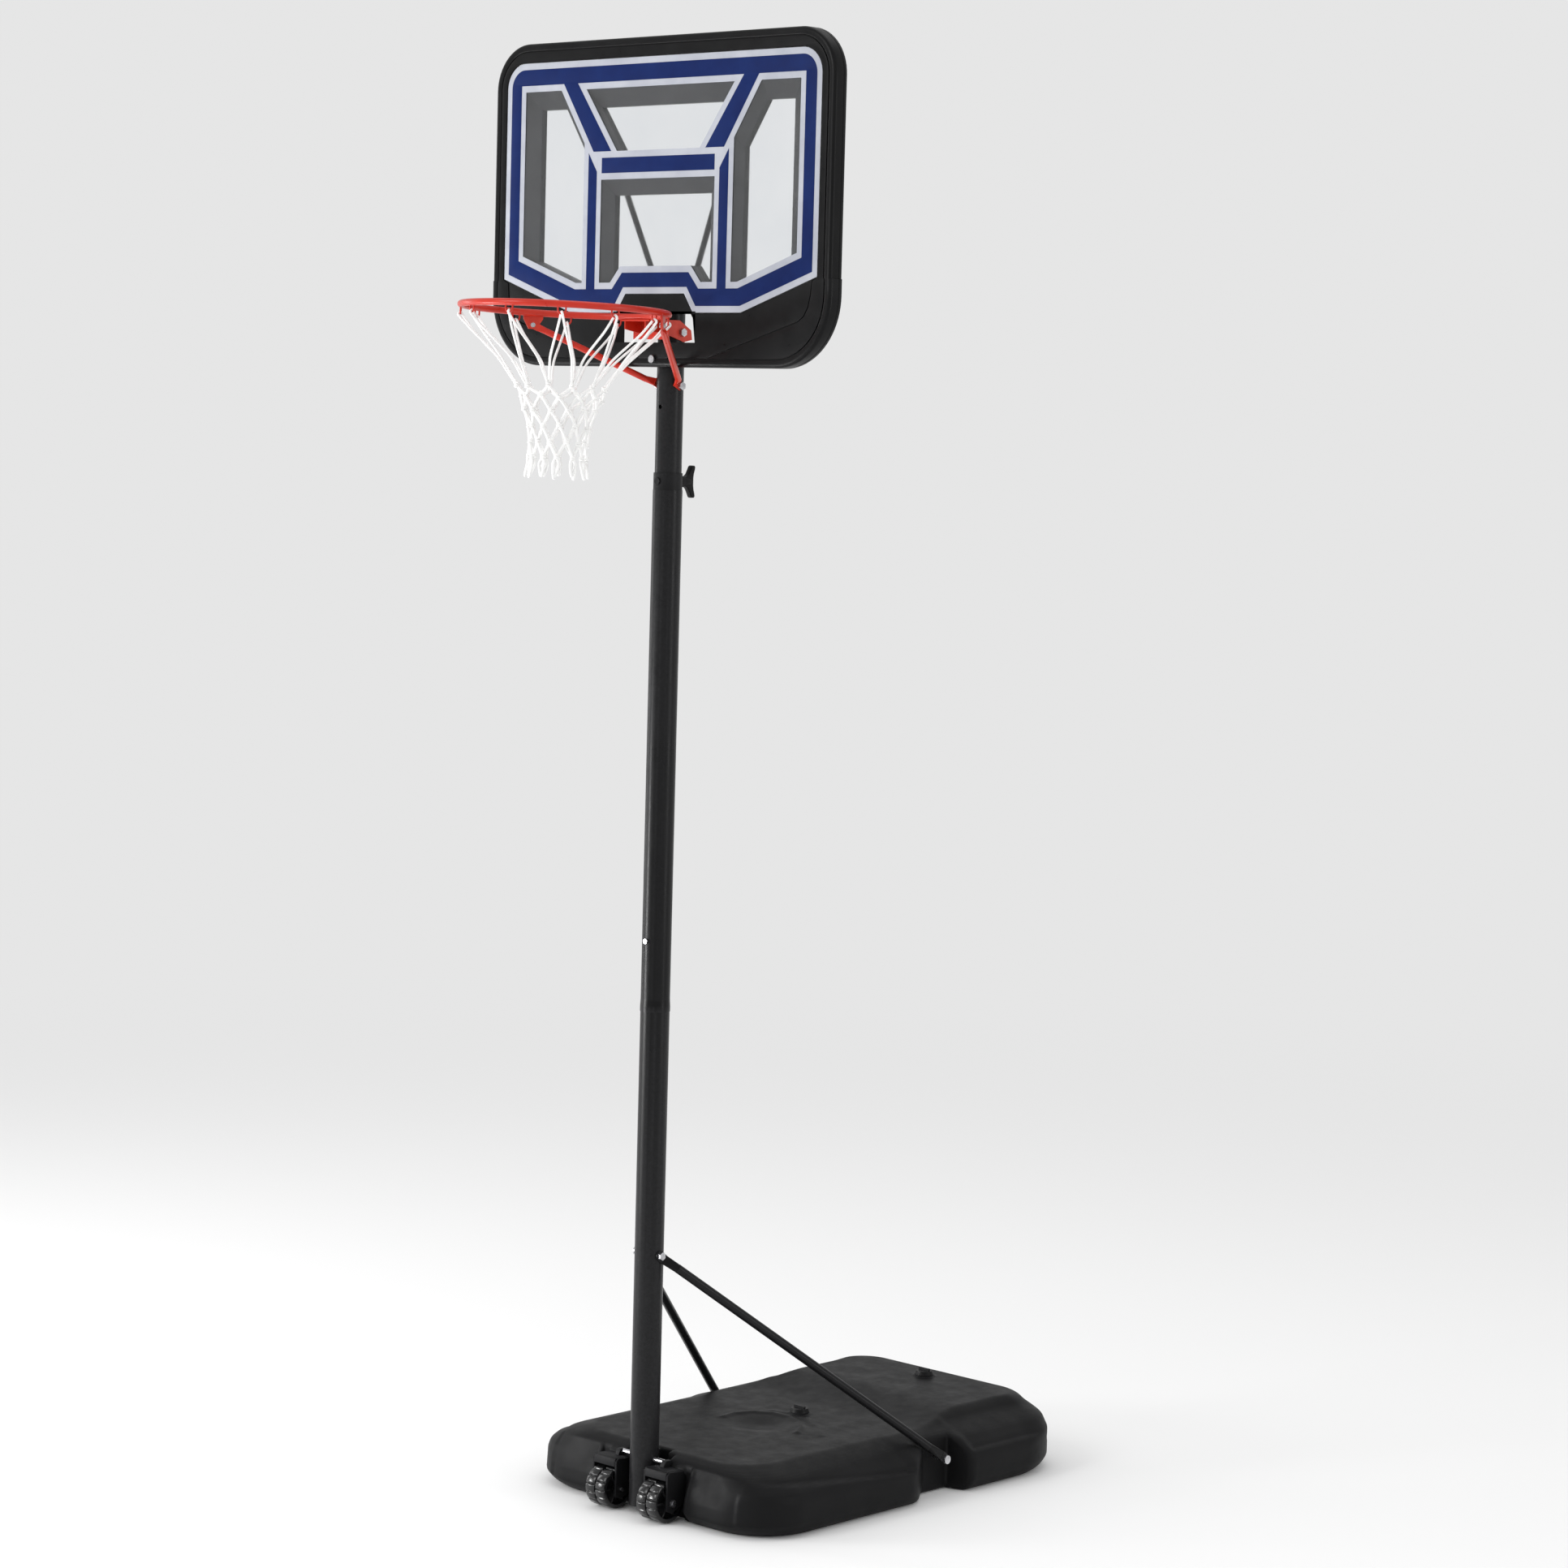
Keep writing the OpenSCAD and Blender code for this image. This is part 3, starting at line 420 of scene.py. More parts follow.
def tube(name, path, radius, sides=10, closed=True, relief=0.13):
    """A laid cord along path, all in metres: three strands, turning once in each lay, stand out of
    its surface by a share of its radius."""
    strands, lay = 3, 0.016
    points = np.array(path, float)
    if closed:
        after, before = np.roll(points, -1, 0), np.roll(points, 1, 0)
    else:
        after = np.vstack([points[1:], 2 * points[-1:] - points[-2:-1]])
        before = np.vstack([2 * points[:1] - points[1:2], points[:-1]])
    tangent = after - before
    tangent /= np.linalg.norm(tangent, axis=1)[:, None]
    normals = []
    normal = np.cross(tangent[0], [0.3, 0.2, 0.9])
    for t in tangent:
        normal = normal - t * (normal @ t)
        normal /= np.linalg.norm(normal)
        normals.append(normal)
    normals = np.array(normals)
    side = np.cross(tangent, normals)
    along = np.concatenate([[0], np.cumsum(np.linalg.norm(np.diff(points, axis=0), axis=1))])
    radii = np.broadcast_to(radius, len(points))
    verts = []
    for i in range(sides):
        a = 2 * math.pi * i / sides
        swell = 1 + relief * np.cos(strands * a - 2 * math.pi * strands * along / lay)
        verts.append(points + (radii * swell)[:, None] * (math.cos(a) * normals + math.sin(a) * side))
    verts = np.array(verts).transpose(1, 0, 2).reshape(-1, 3)
    count = len(points)
    faces = []
    for i in range(count if closed else count - 1):
        a, b = i * sides, (i + 1) % count * sides
        faces += [(a + j, a + (j + 1) % sides, b + (j + 1) % sides, b + j) for j in range(sides)]
    if not closed:
        faces += [tuple(range(sides))[::-1], tuple(range((count - 1) * sides, count * sides))]
    mesh = bpy.data.meshes.new(name)
    mesh.from_pydata([tuple(v) for v in verts], [], faces)
    return mesh


# ---------------------------------------------------------------- board

# the printed windows' edges, as x and height above the board's lower edge
SIDE_WINDOW = [(231, 181), (269, 181), (467, 249), (467, 665), (321, 665), (231, 527.5)]
TOP_WINDOW = [(-144, 488), (144, 488), (273, 665), (-273, 665)]
MID_WINDOW = [(-202, 181), (-143, 181), (-110, 219), (110, 219), (143, 181), (202, 181), (202, 452),
              (-202, 452)]
# each window with how far the slope behind each of its edges reaches in
WINDOWS = {
    "right": (SIDE_WINDOW, [0.4, 0.4, 36, 42, 24, 16]),
    "left": (mirrored(SIDE_WINDOW), [24, 42, 36, 0.4, 0.4, 16]),
    "top": (TOP_WINDOW, [0.4, 2, 42, 2]),
    "middle": (MID_WINDOW, [0.4, 0.4, 0.4, 0.4, 0.4, 28, 36, 28]),
}
STRIPE = 15              # width of the print's silver lines
PORT = [(-135, 57), (135, 57), (135, 128), (-135, 128)]
CHIN_SIDE = [(501, 197), (498, 165), (491, 137), (478, 116), (460, 104), (174, 21)]
CHIN_LOW = 21            # height of the chin's and the face's lower edge
GROOVE = 1.3             # half the width of the groove between chin and face
SHOULDER = 202           # height of the step in the frame's outline
STEP = 2.2               # how far the frame draws in above that step
LOW_CORNER, TOP_CORNER = 165, 110
BACK = 40                # depth of the frame's rear edge behind its face
RIB_FRONT, RIB_BACK = 26, 37
SHEET_X, SHEET_TOP = HALF_W - 41, BOARD_H - 45
SHEET_LOW = 124
SHEET_CORNER = 62
SHEET_FRONT = 1.8        # depth of the clear sheet's face behind the frame's
POLE_DEPTH = 61          # of the upper pole's axis behind the board's face


def board_loop(d):
    """The frame's outline moved in by d, always with the same number of points."""
    half = arc(HALF_W - LOW_CORNER, LOW_CORNER, LOW_CORNER - d, -90, 0, 20)
    half += [(HALF_W - d, SHOULDER - 0.5), (HALF_W - STEP - d, SHOULDER + 0.5)]
    half += arc(HALF_W - STEP - TOP_CORNER, BOARD_H - TOP_CORNER, TOP_CORNER - d, 0, 90, 16)
    return half + mirrored(half)


def sheet_loop(margin, toe, steps, d):
    """The clear sheet's outline, with its crown over the port, drawn in by margin and then by d.
    toe is the x where its lower edge starts to climb."""
    side, low = SHEET_X - margin, SHEET_LOW + margin
    crown = inset([(-97, low + 44), (97, low + 44), (127, low), (200, low)], d)[1:2]
    lower = inset([(97, low + 44), (127, low), (toe, low), (side, low + 80), (side, 400)], d)[1:4]
    corner = SHEET_CORNER - margin - d
    half = crown + lower + arc(SHEET_X - SHEET_CORNER, SHEET_TOP - SHEET_CORNER, corner, 0, 90, steps)
    return half + mirrored(half)


def sheet_outline(d):
    return sheet_loop(0, 281, 14, d)


def print_outline(d):
    return sheet_loop(2, 280, 12, d)


def behind(window, reaches, more=0):
    """A window's outline at the back of the slopes behind its edges."""
    return inset(window, [STRIPE + reach + more for reach in reaches])


def board_band(name, rows):
    """A band through outlines on the board, each with its depth behind the face."""
    return band(name, [[on_board(x, z, depth) for x, z in loop] for loop, depth in rows])


def opening_wall(name, near, far, front):
    """The wall round an opening, between two outlines, from front to the frame's rear edge."""
    return board_band(name, [(near, front), (near, BACK - 0.6), (inset(near, -1), BACK),
                             (inset(far, 1), BACK), (far, BACK - 0.6), (far, front)])


def board_plates():
    """The face, the chin that a groove sets off from it, and the floors behind the sheet and groove."""
    pocket = sheet_outline(-0.4)
    # the face runs round the sheet's sides and top and stops at the chin's groove
    outside = [(x + GROOVE, z - GROOVE) for x, z in CHIN_SIDE]
    outer = [p for p in board_loop(CHIN_LOW) if not (abs(p[0]) < 168 and p[1] < 24)]
    start = next(i for i, p in enumerate(outer) if p[0] > 0 and p[1] < 24)
    outer = outer[start:] + outer[:start]
    low_right = [pocket[3]] + outside
    face = outer + mirrored(low_right) + pocket[4:-4][::-1] + low_right

    inside = [(x - GROOVE, z + GROOVE) for x, z in CHIN_SIDE]
    chin = [(inside[-1][0], CHIN_LOW)] + inside[:-1][::-1] + pocket[:3][::-1]

    holes = [inset(window, STRIPE) for window, _ in WINDOWS.values()]
    backing = [(170, 12), (466, 94), (488, 108), (502, 134), (508, 164), (510, 206), (283, 132), (124, 132),
               (94, 176)]
    return [
        slab("face", face, [], 0.5, 5, 0.5, on_board),
        slab("chin", chin + mirrored(chin), [PORT], 1.4, 6, 0.9, on_board),
        slab("pocket_floor", sheet_outline(-9), holes, 5.2, 8.6, 0.4, on_board),
        slab("backing", backing + mirrored(backing), [PORT], 4.2, 8.4, 0.3, on_board),
    ]


def board_frame():
    """The moulded frame: rim, plates, and the walls round the windows and the port."""
    # distance in from the outline and depth behind the face, round the rim's section
    section = [(33, 3.4), (18.6, 3.4), (18.4, 1.4), (17.6, 0.5), (16.6, 0.1), (9, 0), (5.4, 0.7), (2.6, 2.4),
               (0.8, 5), (0, 8.6), (0, 27), (0.9, 28.4), (0.9, 29.8), (0, 31), (0, 37.6), (0.8, 39.4),
               (2.5, BACK), (4.4, BACK), (5, 39), (5, 9), (33, 7)]
    parts = [board_band("rim", [(board_loop(d), depth) for d, depth in section]), *board_plates()]
    for name, (window, reaches) in WINDOWS.items():
        parts.append(opening_wall("wall_" + name, behind(window, reaches), behind(window, reaches, -5), 24))
    parts.append(opening_wall("port_wall", PORT, inset(PORT, -5), 5))
    return parts


def saddles():
    """Blocks behind the face, below and above the port, that the upper pole lies in."""
    bore = 32.2
    side = bore + 14
    spread = math.degrees(math.acos((POLE_DEPTH - BACK) / bore))
    hollow = arc(0, POLE_DEPTH, bore, 270 + spread, 270 - spread, 14)
    outline = [(-side, 2), (side, 2), (side, BACK)] + hollow + [(-side, BACK)]

    def upright(u, v, w):
        return on_board(u, w, v)

    return [slab("saddle_" + name, outline, [], low, high, 0.8, upright)
            for name, low, high in (("low", 1, 57), ("high", 128, 180))]


def ribs():
    """Thin stiffening ribs across the open back of the frame."""
    spans = [((x, 4), (x, 196)) for x in (-215, 215)]
    spans += [((x, 4), (x, 202)) for x in (-300, 300)]
    spans += [((x, 4), (x, 234)) for x in (-400, 400)]
    spans += [((s * 555, z), (s * 413, z)) for s in (-1, 1) for z in (270, 360, 450, 540, 630)]
    spans += [((x, 612), (x, 761)) for x in (-380, -250, -125, 0, 125, 250, 380)]
    spans += [((s * 252, z), (s * 160, z)) for s in (-1, 1) for z in (240, 310, 380)]
    spans += [((s * x, 403), (s * x, 499)) for s in (-1, 1) for x in (60, 130)]
    made = []
    for i, ((x0, z0), (x1, z1)) in enumerate(spans):
        wide, tall = (1.5, 0) if x0 == x1 else (0, 1.5)
        low = (min(x0, x1) - wide, min(z0, z1) - tall, RIB_FRONT)
        high = (max(x0, x1) + wide, max(z0, z1) + tall, RIB_BACK)
        made.append(rounded_box(f"rib_{i}", low, high, 0.4, on_board))
    return made


def bosses():
    """Round seats for the screws of the V braces."""
    profile = [(3.1, 18), (3.1, BACK), (11, BACK), (13, 38.5), (13, 8)]
    return [lathe("boss", profile, lambda a, b, h, s=s: on_board(s * 172 + a, 455 + b, h)) for s in (-1, 1)]


def make_linings():
    """Paler slopes behind the windows' edges."""
    made = []
    for name, (window, reaches) in WINDOWS.items():
        slope_back = behind(window, reaches, -0.3)
        rows = [(inset(window, STRIPE - 0.2), 5.4), (slope_back, 23.5), (slope_back, 25.5),
                (behind(window, reaches, -2.5), 25.5), (inset(window, STRIPE - 2.4), 5.4)]
        made.append(board_band("lining_" + name, rows))
    return join("window_lining", made)


def make_print():
    """The graphic on the sheet's face: silver all over, with blue between its silver lines."""
    silver_front, silver_back = SHEET_FRONT - 0.34, SHEET_FRONT - 0.04
    blue_front, blue_back = SHEET_FRONT - 0.62, SHEET_FRONT - 0.36
    windows = [inset(window, STRIPE) for window, _ in WINDOWS.values()]
    silver = slab("silver", print_outline(0), windows, silver_front, silver_back, 0.05, on_board)
    hole = [(-467, 665), (-467, 249), (-269, 181), (-231, 181), (-231, 500), (-202, 456), (-202, 181),
            (-143, 181), (-110, 219), (110, 219), (143, 181), (202, 181), (202, 456), (231, 500), (231, 181),
            (269, 181), (467, 249), (467, 665), (321, 665), (215, 503), (155, 503), (273, 665), (-273, 665),
            (-155, 503), (-215, 503), (-321, 665)]
    bar = [(-186, 452), (186, 452), (186, 488), (-186, 488)]
    blue = [slab("blue", print_outline(STRIPE), [hole], blue_front, blue_back, 0.05, on_board),
            slab("bar", bar, [], blue_front, blue_back, 0.05, on_board)]
    return silver, join("print_blue", blue)


def make_board(mats):
    parts = board_frame() + saddles() + ribs() + bosses()
    shell = add_piece("frame_shell", join("frame_shell", parts), mats["frame"], "head", 32)
    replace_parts(shell, "board_frame")
    add_piece("window_lining", make_linings(), mats["lining"], "head", 20)
    silver, blue = make_print()
    add_piece("print_silver", silver, mats["silver"], "head", 32)
    add_piece("print_blue", blue, mats["blue"], "head", 32)


# ---------------------------------------------------------------- net

# depth below the ring and radius of each row of knots, and of the loops at the foot
NET_ROWS = [(-177, 104), (-200, 92), (-229, 82), (-266, 71.5), (-302, 65), (-338, 64)]
NET_TIP = (-381, 71)
HOOKS = 12
FIRST_HOOK = -75         # degrees
HALF_PITCH = 360 / HOOKS / 2
HOOK_WIRE = -RING_ROD / 2 - 5 - 9
CORD, LOW_CORD = 0.0028, 0.0035    # the cord's radius, and where it is bulked out below, in metres


def on_ring(radius, angle, depth):
    """A point about the ring's tilted axis, its angle in degrees."""
    a = math.radians(angle)
    local = Vector((radius * math.cos(a), radius * math.sin(a), depth)) * MM
    return RING_AT + Matrix.Rotation(-RING_TILT, 3, "X") @ local


def smooth_path(points):
    """Points every few millimetres along a rounded closed curve through points."""
    spacing, tension = 0.0024, 0.35
    points = np.array([tuple(p) for p in points])
    count = len(points)
    made = []
    for i in range(count):
        p0, p1, p2, p3 = (points[(i + k - 1) % count] for k in range(4))
        length = np.linalg.norm(p2 - p1)
        steps = max(2, int(length / spacing))
        m1, m2 = tension * (p2 - p0), tension * (p3 - p1)
        m1 *= min(1, 1.2 * length / (np.linalg.norm(m1) + 1e-9))
        m2 *= min(1, 1.2 * length / (np.linalg.norm(m2) + 1e-9))
        for t in np.arange(steps) / steps:
            made.append((2 * t**3 - 3 * t**2 + 1) * p1 + (t**3 - 2 * t**2 + t) * m1
                        + (-2 * t**3 + 3 * t**2) * p2 + (t**3 - t**2) * m2)
    return np.array(made)


def net_knots(rng):
    """Radius, angle and depth of every knot, by row and by half pitches round the ring."""
    knots = {}
    for row, (depth, radius) in enumerate(NET_ROWS):
        for k in range(HOOKS):
            half = 2 * k + (row + 1) % 2
            knots[row, half] = (radius + rng.uniform(-2.5, 2.5), half * HALF_PITCH + rng.uniform(-2.2, 2.2),
                                depth + rng.uniform(-4, 4))
    return knots


def net_strand(hook, knots, rng):
    """From a hook down through the knots, round a loop at the foot and up to the opposite hook."""
    rows = len(NET_ROWS)
    around = 2 * HOOKS
    depth, radius = NET_ROWS[0]
    start = FIRST_HOOK + hook * 2 * HALF_PITCH
    end = start + 2 * rows * HALF_PITCH
    path = [on_ring(RING_RADIUS, start, HOOK_WIRE + 4.6),
            on_ring(RING_RADIUS + 5, start + 0.5, HOOK_WIRE - 2),
            on_ring(RING_RADIUS - 26, start + 2.6, HOOK_WIRE - 34),
            on_ring(radius + 46, start + 0.62 * HALF_PITCH, depth + 62)]
    for row in range(rows):
        r, a, d = knots[row, (2 * hook + row + 1) % around]
        path.append(on_ring(r + 1.7, FIRST_HOOK + a, d))
    r, a, d = knots[rows - 1, (2 * hook + rows) % around]
    foot = FIRST_HOOK + a
    drop = rng.uniform(-5, 5)
    path.append(on_ring(r + 3, foot + 5.5, d - 17))
    path.append(on_ring(NET_TIP[1] + rng.uniform(-2, 3), foot + rng.uniform(-2, 2), NET_TIP[0] + drop))
    path.append(on_ring(r + 3, foot - 5.5, d - 17))
    for row in reversed(range(rows)):
        r, a, d = knots[row, (2 * hook + 2 * rows - row - 1) % around]
        path.append(on_ring(r - 1.7, FIRST_HOOK + a, d))
    return path + [on_ring(radius + 44, end - 0.62 * HALF_PITCH, depth + 62),
                   on_ring(RING_RADIUS - 30, end - 2.6, HOOK_WIRE - 34),
                   on_ring(RING_RADIUS - 5, end - 0.5, HOOK_WIRE - 2)]


def knot_wrap(radius, angle, depth):
    """The cord wound round the two strands that meet in a knot."""
    coil = 4.3
    turns = []
    for t in np.linspace(0, 1, 26):
        a = 2 * math.pi * 2.3 * t
        turns.append(on_ring(radius + coil * math.cos(a),
                             FIRST_HOOK + angle + math.degrees(coil * math.sin(a) / radius),
                             depth + 5.5 - 11 * t))
    return tube("wrap", turns, 0.0024, 8, closed=False, relief=0.05)


def make_net(mats):
    """Twelve strands, two to each closed cord, and a wrap at each knot."""
    rng = random.Random(11)
    knots = net_knots(rng)
    low_z = RING_AT.z + NET_ROWS[0][0] * MM
    blend = 9
    window = np.ones(2 * blend + 1) / (2 * blend + 1)
    for i in range(HOOKS // 2):
        path = smooth_path(net_strand(i, knots, rng) + net_strand(i + HOOKS // 2, knots, rng))
        radius = np.where(path[:, 2] < low_z, LOW_CORD, CORD)
        radius = np.convolve(np.concatenate([radius[-blend:], radius, radius[:blend]]), window, "valid")
        name = f"net_cord_{i + 1}"
        cord = add_piece(name, tube(name, path, radius), mats["cord"], "head")
        if i == 0:
            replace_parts(cord, "net")
    wraps = [knot_wrap(*knot) for knot in knots.values()]
    add_piece("net_knots", join("net_knots", wraps), mats["cord"], "head")


# ---------------------------------------------------------------- base

# in plan, from the pole's axis: x to the sides and y to the rear
HALF_BASE, BASE_FRONT, BASE_REAR = 410, -20, 1145
FRONT_CORNER, REAR_CORNER = 150, 190
DECK = 152               # height of the deck in front, and how much it rises at the rear
DECK_RISE = 23
NECKS = (545, 1015)      # the two filler necks
# height, and how far each wall stands in from the plan there
SIDE_WALL = [(0, 24), (14, 9), (34, 0), (84, 0), (103, 8), (131, 46), (152, 104), (175, 128)]
FRONT_WALL = [(0, 34), (16, 14), (33, 1), (38, 2), (60, 4), (90, 12), (128, 27), (140, 36), (152, 58)]
REAR_WALL = [(0, 24), (14, 9), (34, 0), (68, 0), (92, 9), (112, 21), (135, 30), (156, 36), (167, 42),
             (175, 54)]
SWIRL = [(-98, 372), (-103, 415), (-84, 462), (-40, 492), (12, 497), (60, 478), (104, 440), (132, 396)]
TRAIL = [(-60, 512), (-10, 520), (50, 512), (120, 478), (190, 420)]
STRUT_FOOT = (386, 660, 92)
STRUT_RUN = (-348.8, -660, 538)    # from its foot to its top


def soft_max(a, b, k):
    """The larger of two fields, rounded over a width of k where they meet."""
    h = np.maximum(k - np.abs(a - b), 0) / k
    return np.maximum(a, b) + h * h * k / 4


def fade(value, low, high):
    """0 below low, 1 above high, and a soft rise between them."""
    t = np.clip((value - low) / (high - low), 0, 1)
    return t * t * (3 - 2 * t)


def near_line(x, y, line):
    """Distance in plan from every (x, y) to a run of points."""
    best = np.full(np.broadcast(x, y).shape, 1e9)
    for (ax, ay), (bx, by) in zip(line, line[1:]):
        dx, dy = bx - ax, by - ay
        t = np.clip(((x - ax) * dx + (y - ay) * dy) / (dx * dx + dy * dy), 0, 1)
        best = np.minimum(best, np.hypot(x - ax - t * dx, y - ay - t * dy))
    return best


def surface_net(field, low, step):
    """The zero surface of a field on a grid, as points and quads: one point in each cell that the
    surface crosses, and one quad across each grid edge that it crosses."""
    shape = np.array(field.shape) - 1
    total = np.zeros((*shape, 3), np.float32)
    hits = np.zeros(shape, np.float32)
    inside = field < 0
    for axis in range(3):
        others = [i for i in range(3) if i != axis]
        for p in (0, 1):
            for q in (0, 1):
                a_cut, b_cut = [None] * 3, [None] * 3
                a_cut[axis], b_cut[axis] = slice(0, shape[axis]), slice(1, shape[axis] + 1)
                for other, off in zip(others, (p, q)):
                    a_cut[other] = b_cut[other] = slice(off, shape[other] + off)
                a, b = field[tuple(a_cut)], field[tuple(b_cut)]
                crossing = inside[tuple(a_cut)] != inside[tuple(b_cut)]
                t = np.where(crossing, a / np.where(crossing, a - b, 1), 0)
                hits += crossing
                total[..., axis] += t
                for other, off in zip(others, (p, q)):
                    total[..., other] += off * crossing
    active = hits > 0
    number = np.full(shape, -1, np.int64)
    number[active] = np.arange(active.sum())
    points = np.array(low) + step * (np.argwhere(active) + total[active] / hits[active][:, None])
    quads = []
    for axis in range(3):
        u, v = (axis + 1) % 3, (axis + 2) % 3
        cut_a, cut_b = [slice(1, -1)] * 3, [slice(1, -1)] * 3
        cut_a[axis], cut_b[axis] = slice(0, -1), slice(1, None)
        a, b = inside[tuple(cut_a)], inside[tuple(cut_b)]
        for rising in (True, False):
            where = np.argwhere((a & ~b) if rising else (~a & b))
            where[:, u] += 1
            where[:, v] += 1
            corners = []
            for du, dv in ((-1, -1), (0, -1), (0, 0), (-1, 0)):
                cell = where.copy()
                cell[:, u] += du
                cell[:, v] += dv
                corners.append(number[tuple(cell.T)])
            quad = np.stack(corners, 1)
            quads.append(quad if rising else quad[:, ::-1])
    return points, np.concatenate(quads)


def drawn_in(table, z):
    """How far a wall stands in at each height z, with the table's corners rounded."""
    heights = np.arange(-20, 200)
    line = np.interp(heights, *zip(*table))
    padded = np.concatenate([np.full(5, line[0]), line, np.full(5, line[-1])])
    return np.interp(z, heights, np.convolve(padded, np.ones(11) / 11, "valid"))


def deck_height(x, y):
    """The deck rises behind the struts and carries the swirl and the filler necks."""
    deck = DECK + DECK_RISE * fade(y, 640, 850)
    deck = deck + 4.5 * np.exp(-(near_line(x, y, SWIRL) / 9) ** 2)
    deck = deck + 2.5 * np.exp(-(near_line(x, y, TRAIL) / 10) ** 2)
    for neck in NECKS:
        deck = deck + 3.5 * fade(-np.hypot(x, y - neck), -31, -25)
    return deck


def strut_lane(ax, y, z):
    """The channel that a strut lies in where it comes down into its notch."""
    dx, dy, dz = (at - foot for at, foot in zip((ax, y, z), STRUT_FOOT))
    rx, ry, rz = np.array(STRUT_RUN) / np.linalg.norm(STRUT_RUN)
    along = dx * rx + dy * ry + dz * rz
    away = np.sqrt(np.maximum(dx**2 + dy**2 + dz**2 - along**2, 0))
    return np.maximum(away - 16, 4 - along)


def tank_walls(ax, y, z):
    """The flanks, the front with its panels, and the rear, round a plan with rounded corners."""
    side, front, rear = (drawn_in(wall, z) for wall in (SIDE_WALL, FRONT_WALL, REAR_WALL))
    # the flank stands out below a crease that falls towards the notch, and below a level one behind it
    crease = np.where(y < 640, 124 - 0.083 * (y - 60), 101)
    ahead = fade(y, 30, 70) * fade(-y, -545, -505)
    astern = fade(y, 735, 765) * fade(-y, -1040, -960)
    ledge = 8 * fade(z, crease - 4, crease + 4) + 3 * np.exp(-((z - crease - 3) / 5) ** 2)
    side = side + np.where(y < 640, ahead, astern) * ledge
    panel = fade(ax, 158, 166) * fade(-ax, -318, -306) * fade(z, 26, 34) * fade(-z, -136, -126)
    front = front + 4 * panel
    # the plan's corners tighten towards the top
    corner = np.where(y < 600, FRONT_CORNER - 30 * fade(z, 50, 140), REAR_CORNER - 105 * fade(z, 70, 150))
    qx = ax + side - HALF_BASE + corner
    qy = np.maximum(BASE_FRONT + front - y, y + rear - BASE_REAR) + corner
    return np.minimum(np.maximum(qx, qy), 0) + np.hypot(np.maximum(qx, 0), np.maximum(qy, 0)) - corner


def base_field(x, y, z):
    """Signed distance to the blow-moulded tank, in the pole's frame."""
    ax = np.abs(x)
    body = soft_max(tank_walls(ax, y, z), z - deck_height(x, y), 16)
    dish = 75**2 / 24 + 6
    body = soft_max(body, dish - np.sqrt(x * x + (y - 400) ** 2 + (z - 140 - dish) ** 2), 9)
    body = soft_max(body, -z, 9)
    notch_front = (HALF_BASE - ax) * 0.798 + (535 - y) * 0.603
    notch = np.maximum(np.maximum(342 - ax, notch_front), y - 715 - (ax - 342) * 0.29)
    # each room that is cut from the tank, and how wide its edge is rounded
    cuts = [
        (notch, 16),
        (strut_lane(ax, y, z), 12),
        # the bay for the pole, the wheels' bay, the slots outside it and the recess for the cross rod
        (np.maximum(ax - 46, y - 50), 6),
        (np.maximum(np.maximum(ax - 126, y - 28), z - 112), 6),
        (np.maximum(np.abs(ax - 139) - 10, y - 12), 8),
        (np.maximum(np.maximum(ax - 70, y - 32), 118 - z), 7),
    ]
    cuts += [(np.maximum(np.hypot(x, y - neck) - 17.6, 125 - z), 2) for neck in NECKS]
    for cut, width in cuts:
        body = soft_max(body, -cut, width)
    return body


def water_field(x, y, z):
    """The room inside the tank's wall, up to the water's level."""
    wall, floor, level = 14, 8, 116
    return np.maximum(base_field(x, y, z) + wall, np.maximum(z - level, floor - z))


def field_mesh(name, step, shape):
    """The surface of shape, a field over a grid round the base."""
    low, high = (-424, -60, -12), (424, 1204, 192)
    axes = [np.arange(a, b + step, step) for a, b in zip(low, high)]
    field = shape(*np.meshgrid(*axes, indexing="ij", sparse=True)).astype(np.float32)
    points, quads = surface_net(field, low, step)
    points[:, 2] = np.maximum(points[:, 2], 0)
    mesh = bpy.data.meshes.new(name)
    mesh.from_pydata((points * MM + np.array([0, POLE_Y, 0])).tolist(), [], quads.tolist())
    return mesh


def lug_parts(s):
    """The hood over the wheel on side s: two cheeks, a brow and a seat for the cross rod."""
    def sideways(u, v, w):
        return in_pole(s * w, u, v)

    cheek = [(-48, 34), (-30, 27), (-12, 34), (30, 60), (30, 122), (-40, 127), (-47, 120)]
    brow = [(-48, 107), (30, 107), (30, 124), (-40, 128), (-45.5, 126), (-48, 121)]
    seat = [(-16, 120), (16, 120), (16, 131), (9, 141), (-9, 141), (-16, 131)]
    parts = [("cheek", cheek, 46, 52, 1.2), ("cheek", cheek, 122, 128, 1.2), ("brow", brow, 51, 123, 1.6),
             ("seat", seat, 70, 84, 1.5)]
    return [slab(name, outline, [], low, high, bevel, sideways) for name, outline, low, high, bevel in parts]


def make_base(mats):
    shell = field_mesh("base_shell", 4, base_field)
    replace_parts(add_piece("base_shell", shell, mats["base"], "root"), "base_tank")
    water = field_mesh("water", 12, water_field)
    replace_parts(add_piece("water", water, mats["water"], "root"), "ballast_fill")
    lugs = join("wheel_lugs", [part for s in (-1, 1) for part in lug_parts(s)])
    add_piece("wheel_lugs", lugs, mats["base"], "root", 40)


# ---------------------------------------------------------------- wheels

WHEEL_AT = (87, -30, 51.5)
WHEEL_HALF = 32          # half the wheel's width
TREAD_BLOCKS = 15        # in each of its two rows
TREAD_DEPTH = 3.2


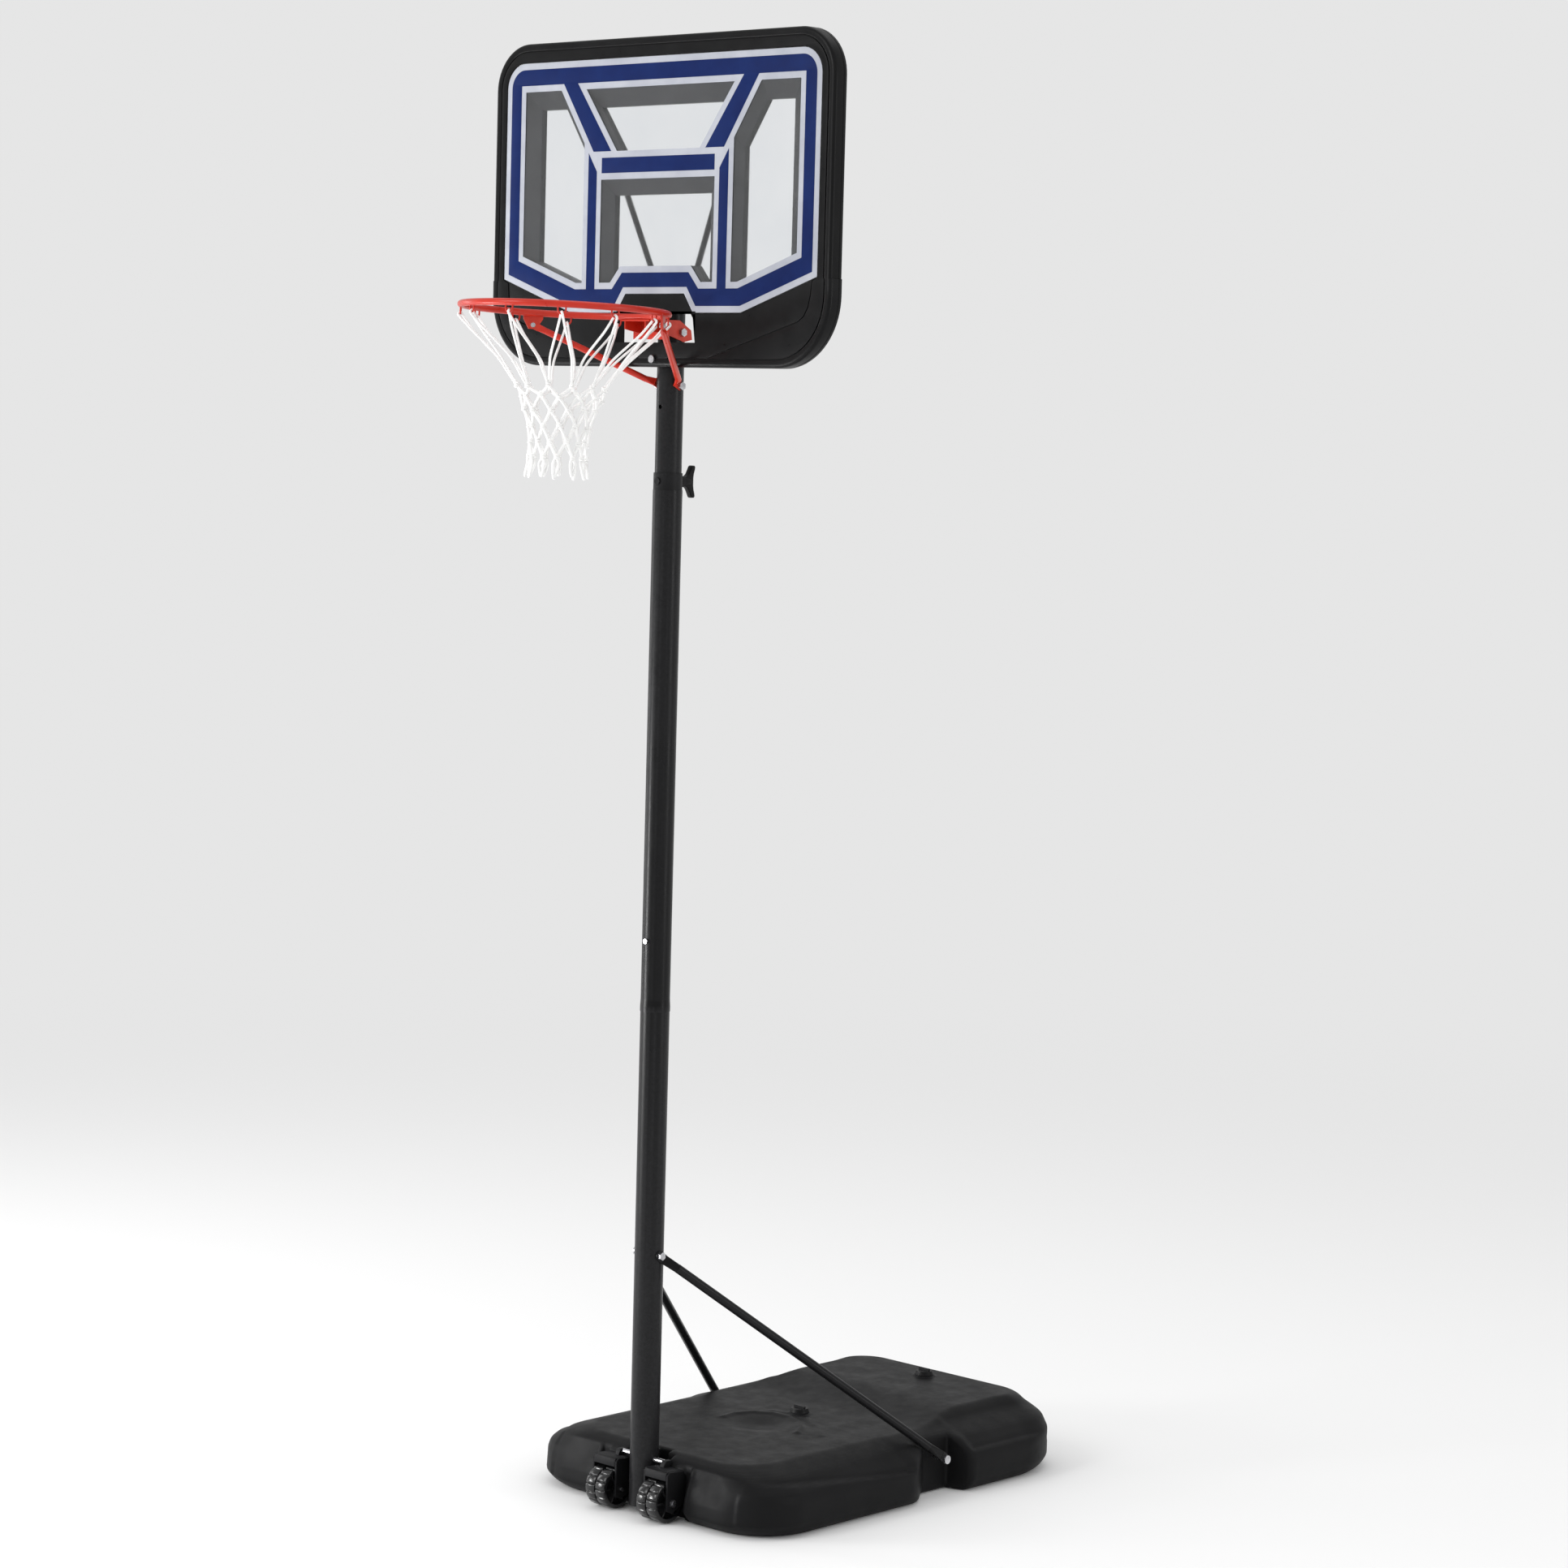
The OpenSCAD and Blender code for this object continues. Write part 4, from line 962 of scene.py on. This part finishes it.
def wheel_mesh(s):
    """The roller on side s, with two rows of tread blocks, a dished web with spokes, and a hub."""
    centre_x, centre_y, centre_z = WHEEL_AT
    half = WHEEL_HALF
    steps = 180
    # x from the middle and radius, across the tread and then down one face and up the other
    tread = [(-half, 46.5), (-half + 1.2, 49), (-half + 3, 50), (-3.6, 50), (-2, 49), (-1.2, 46.4),
             (1.2, 46.4), (2, 49), (3.6, 50), (half - 3, 50), (half - 1.2, 49), (half, 46.5)]
    face = [(half, 40), (half - 1, 38.6), (half - 7, 37.6), (half - 8, 36), (half - 8, 13.5), (half - 7, 12),
            (half - 0.6, 11.4), (half, 10.6), (half, 5.4)]
    loops = []
    for i, (x, radius) in enumerate(tread + face + mirrored(face)):
        blocks = i < len(tread) and radius > 48
        stagger = 0.5 if x > 0 else 0
        loop = []
        for j in range(steps):
            a = 2 * math.pi * j / steps
            r = radius
            if blocks:
                phase = (j * TREAD_BLOCKS / steps + stagger) % 1
                r -= TREAD_DEPTH * (1 - float(fade(abs(phase - 0.5), 0.06, 0.1)))
            loop.append(in_pole(s * (centre_x + x), centre_y + r * math.cos(a), centre_z + r * math.sin(a)))
        loops.append(loop)
    parts = [band("wheel", loops)]
    for side in (-1, 1):
        for k in range(6):
            a = math.radians(60 * k)

            def spoke(u, v, w, a=a, side=side):
                y, z = u * math.cos(a) - v * math.sin(a), u * math.sin(a) + v * math.cos(a)
                return in_pole(s * (centre_x + side * w), centre_y + y, centre_z + z)

            parts.append(rounded_box("spoke", (11, -2, half - 9), (38.5, 2, half - 2.5), 0.6, spoke))
    return join("wheel", parts)


def make_wheels(mats):
    for s, name in ((-1, "wheel_left"), (1, "wheel_right")):
        roller = name.replace("wheel", "roller")
        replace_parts(add_piece(roller, wheel_mesh(s), mats["wheel"], name, 35), name)


# ---------------------------------------------------------------- knob

KNOB_LEVEL = 2472


def make_knob(mats):
    """A two-winged handle on a round hub."""
    def wing(u, v, w):
        return in_pole(w, u, KNOB_LEVEL + v)

    def turned(a, b, h):
        return in_pole(a, h, KNOB_LEVEL + b)

    upper = [(49, 11), (56, 12.5), (63, 18), (69, 29), (72.5, 36), (76, 38.2), (82, 38), (84.6, 34.5),
             (83.5, 28), (80.5, 19), (79, 9)]
    outline = upper + [(u, -v) for u, v in reversed(upper)]
    hub = [(5.2, 47.8), (5.2, 72), (9, 72), (10.4, 70.5), (11, 60), (12.5, 50), (12, 47.8)]
    parts = [slab("wings", outline, [], -8, 8, 3.4, wing), lathe("hub", hub, turned)]
    knob = add_piece("knob_handle", join("knob_handle", parts), mats["trim"], "knob", 40)
    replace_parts(knob, "height_knob")


# ---------------------------------------------------------------- put together

def dress_nodes(mats):
    """Materials for the CAD nodes that stay as they are."""
    looks = {
        "paint": ["bottom_pole", "middle_pole", "upper_pole", "strut_left", "strut_right", "board_brace_left",
                  "board_brace_right"],
        "trim": ["pole_collar", "pole_top_cap", "filler_cap_front", "filler_cap_rear"],
        "red": ["rim_ring", "rim_bracket", "rim_brace_left", "rim_brace_right"],
        "steel": ["wheel_axle_left", "wheel_axle_right", "pole_base_rod", "pole_joint_screw", "height_screw",
                  "strut_top_bolt", "strut_base_bolts", "board_brace_bolt", "board_brace_screws",
                  "board_pole_bolt", "rim_bracket_bolt", "rim_brace_bolt", "rim_brace_rivets"],
        "clear": ["board_sheet"],
        "guide": ["lower_guide"],
    }
    for look, names in looks.items():
        for name in names:
            for slot in NODES[name].material_slots:
                slot.material = mats[look]


make_camera()
make_sky()
for light in LIGHTS:
    area_light(*light)
make_floor()
MATS = make_materials()
dress_nodes(MATS)
make_board(MATS)
make_net(MATS)
make_base(MATS)
make_wheels(MATS)
make_knob(MATS)
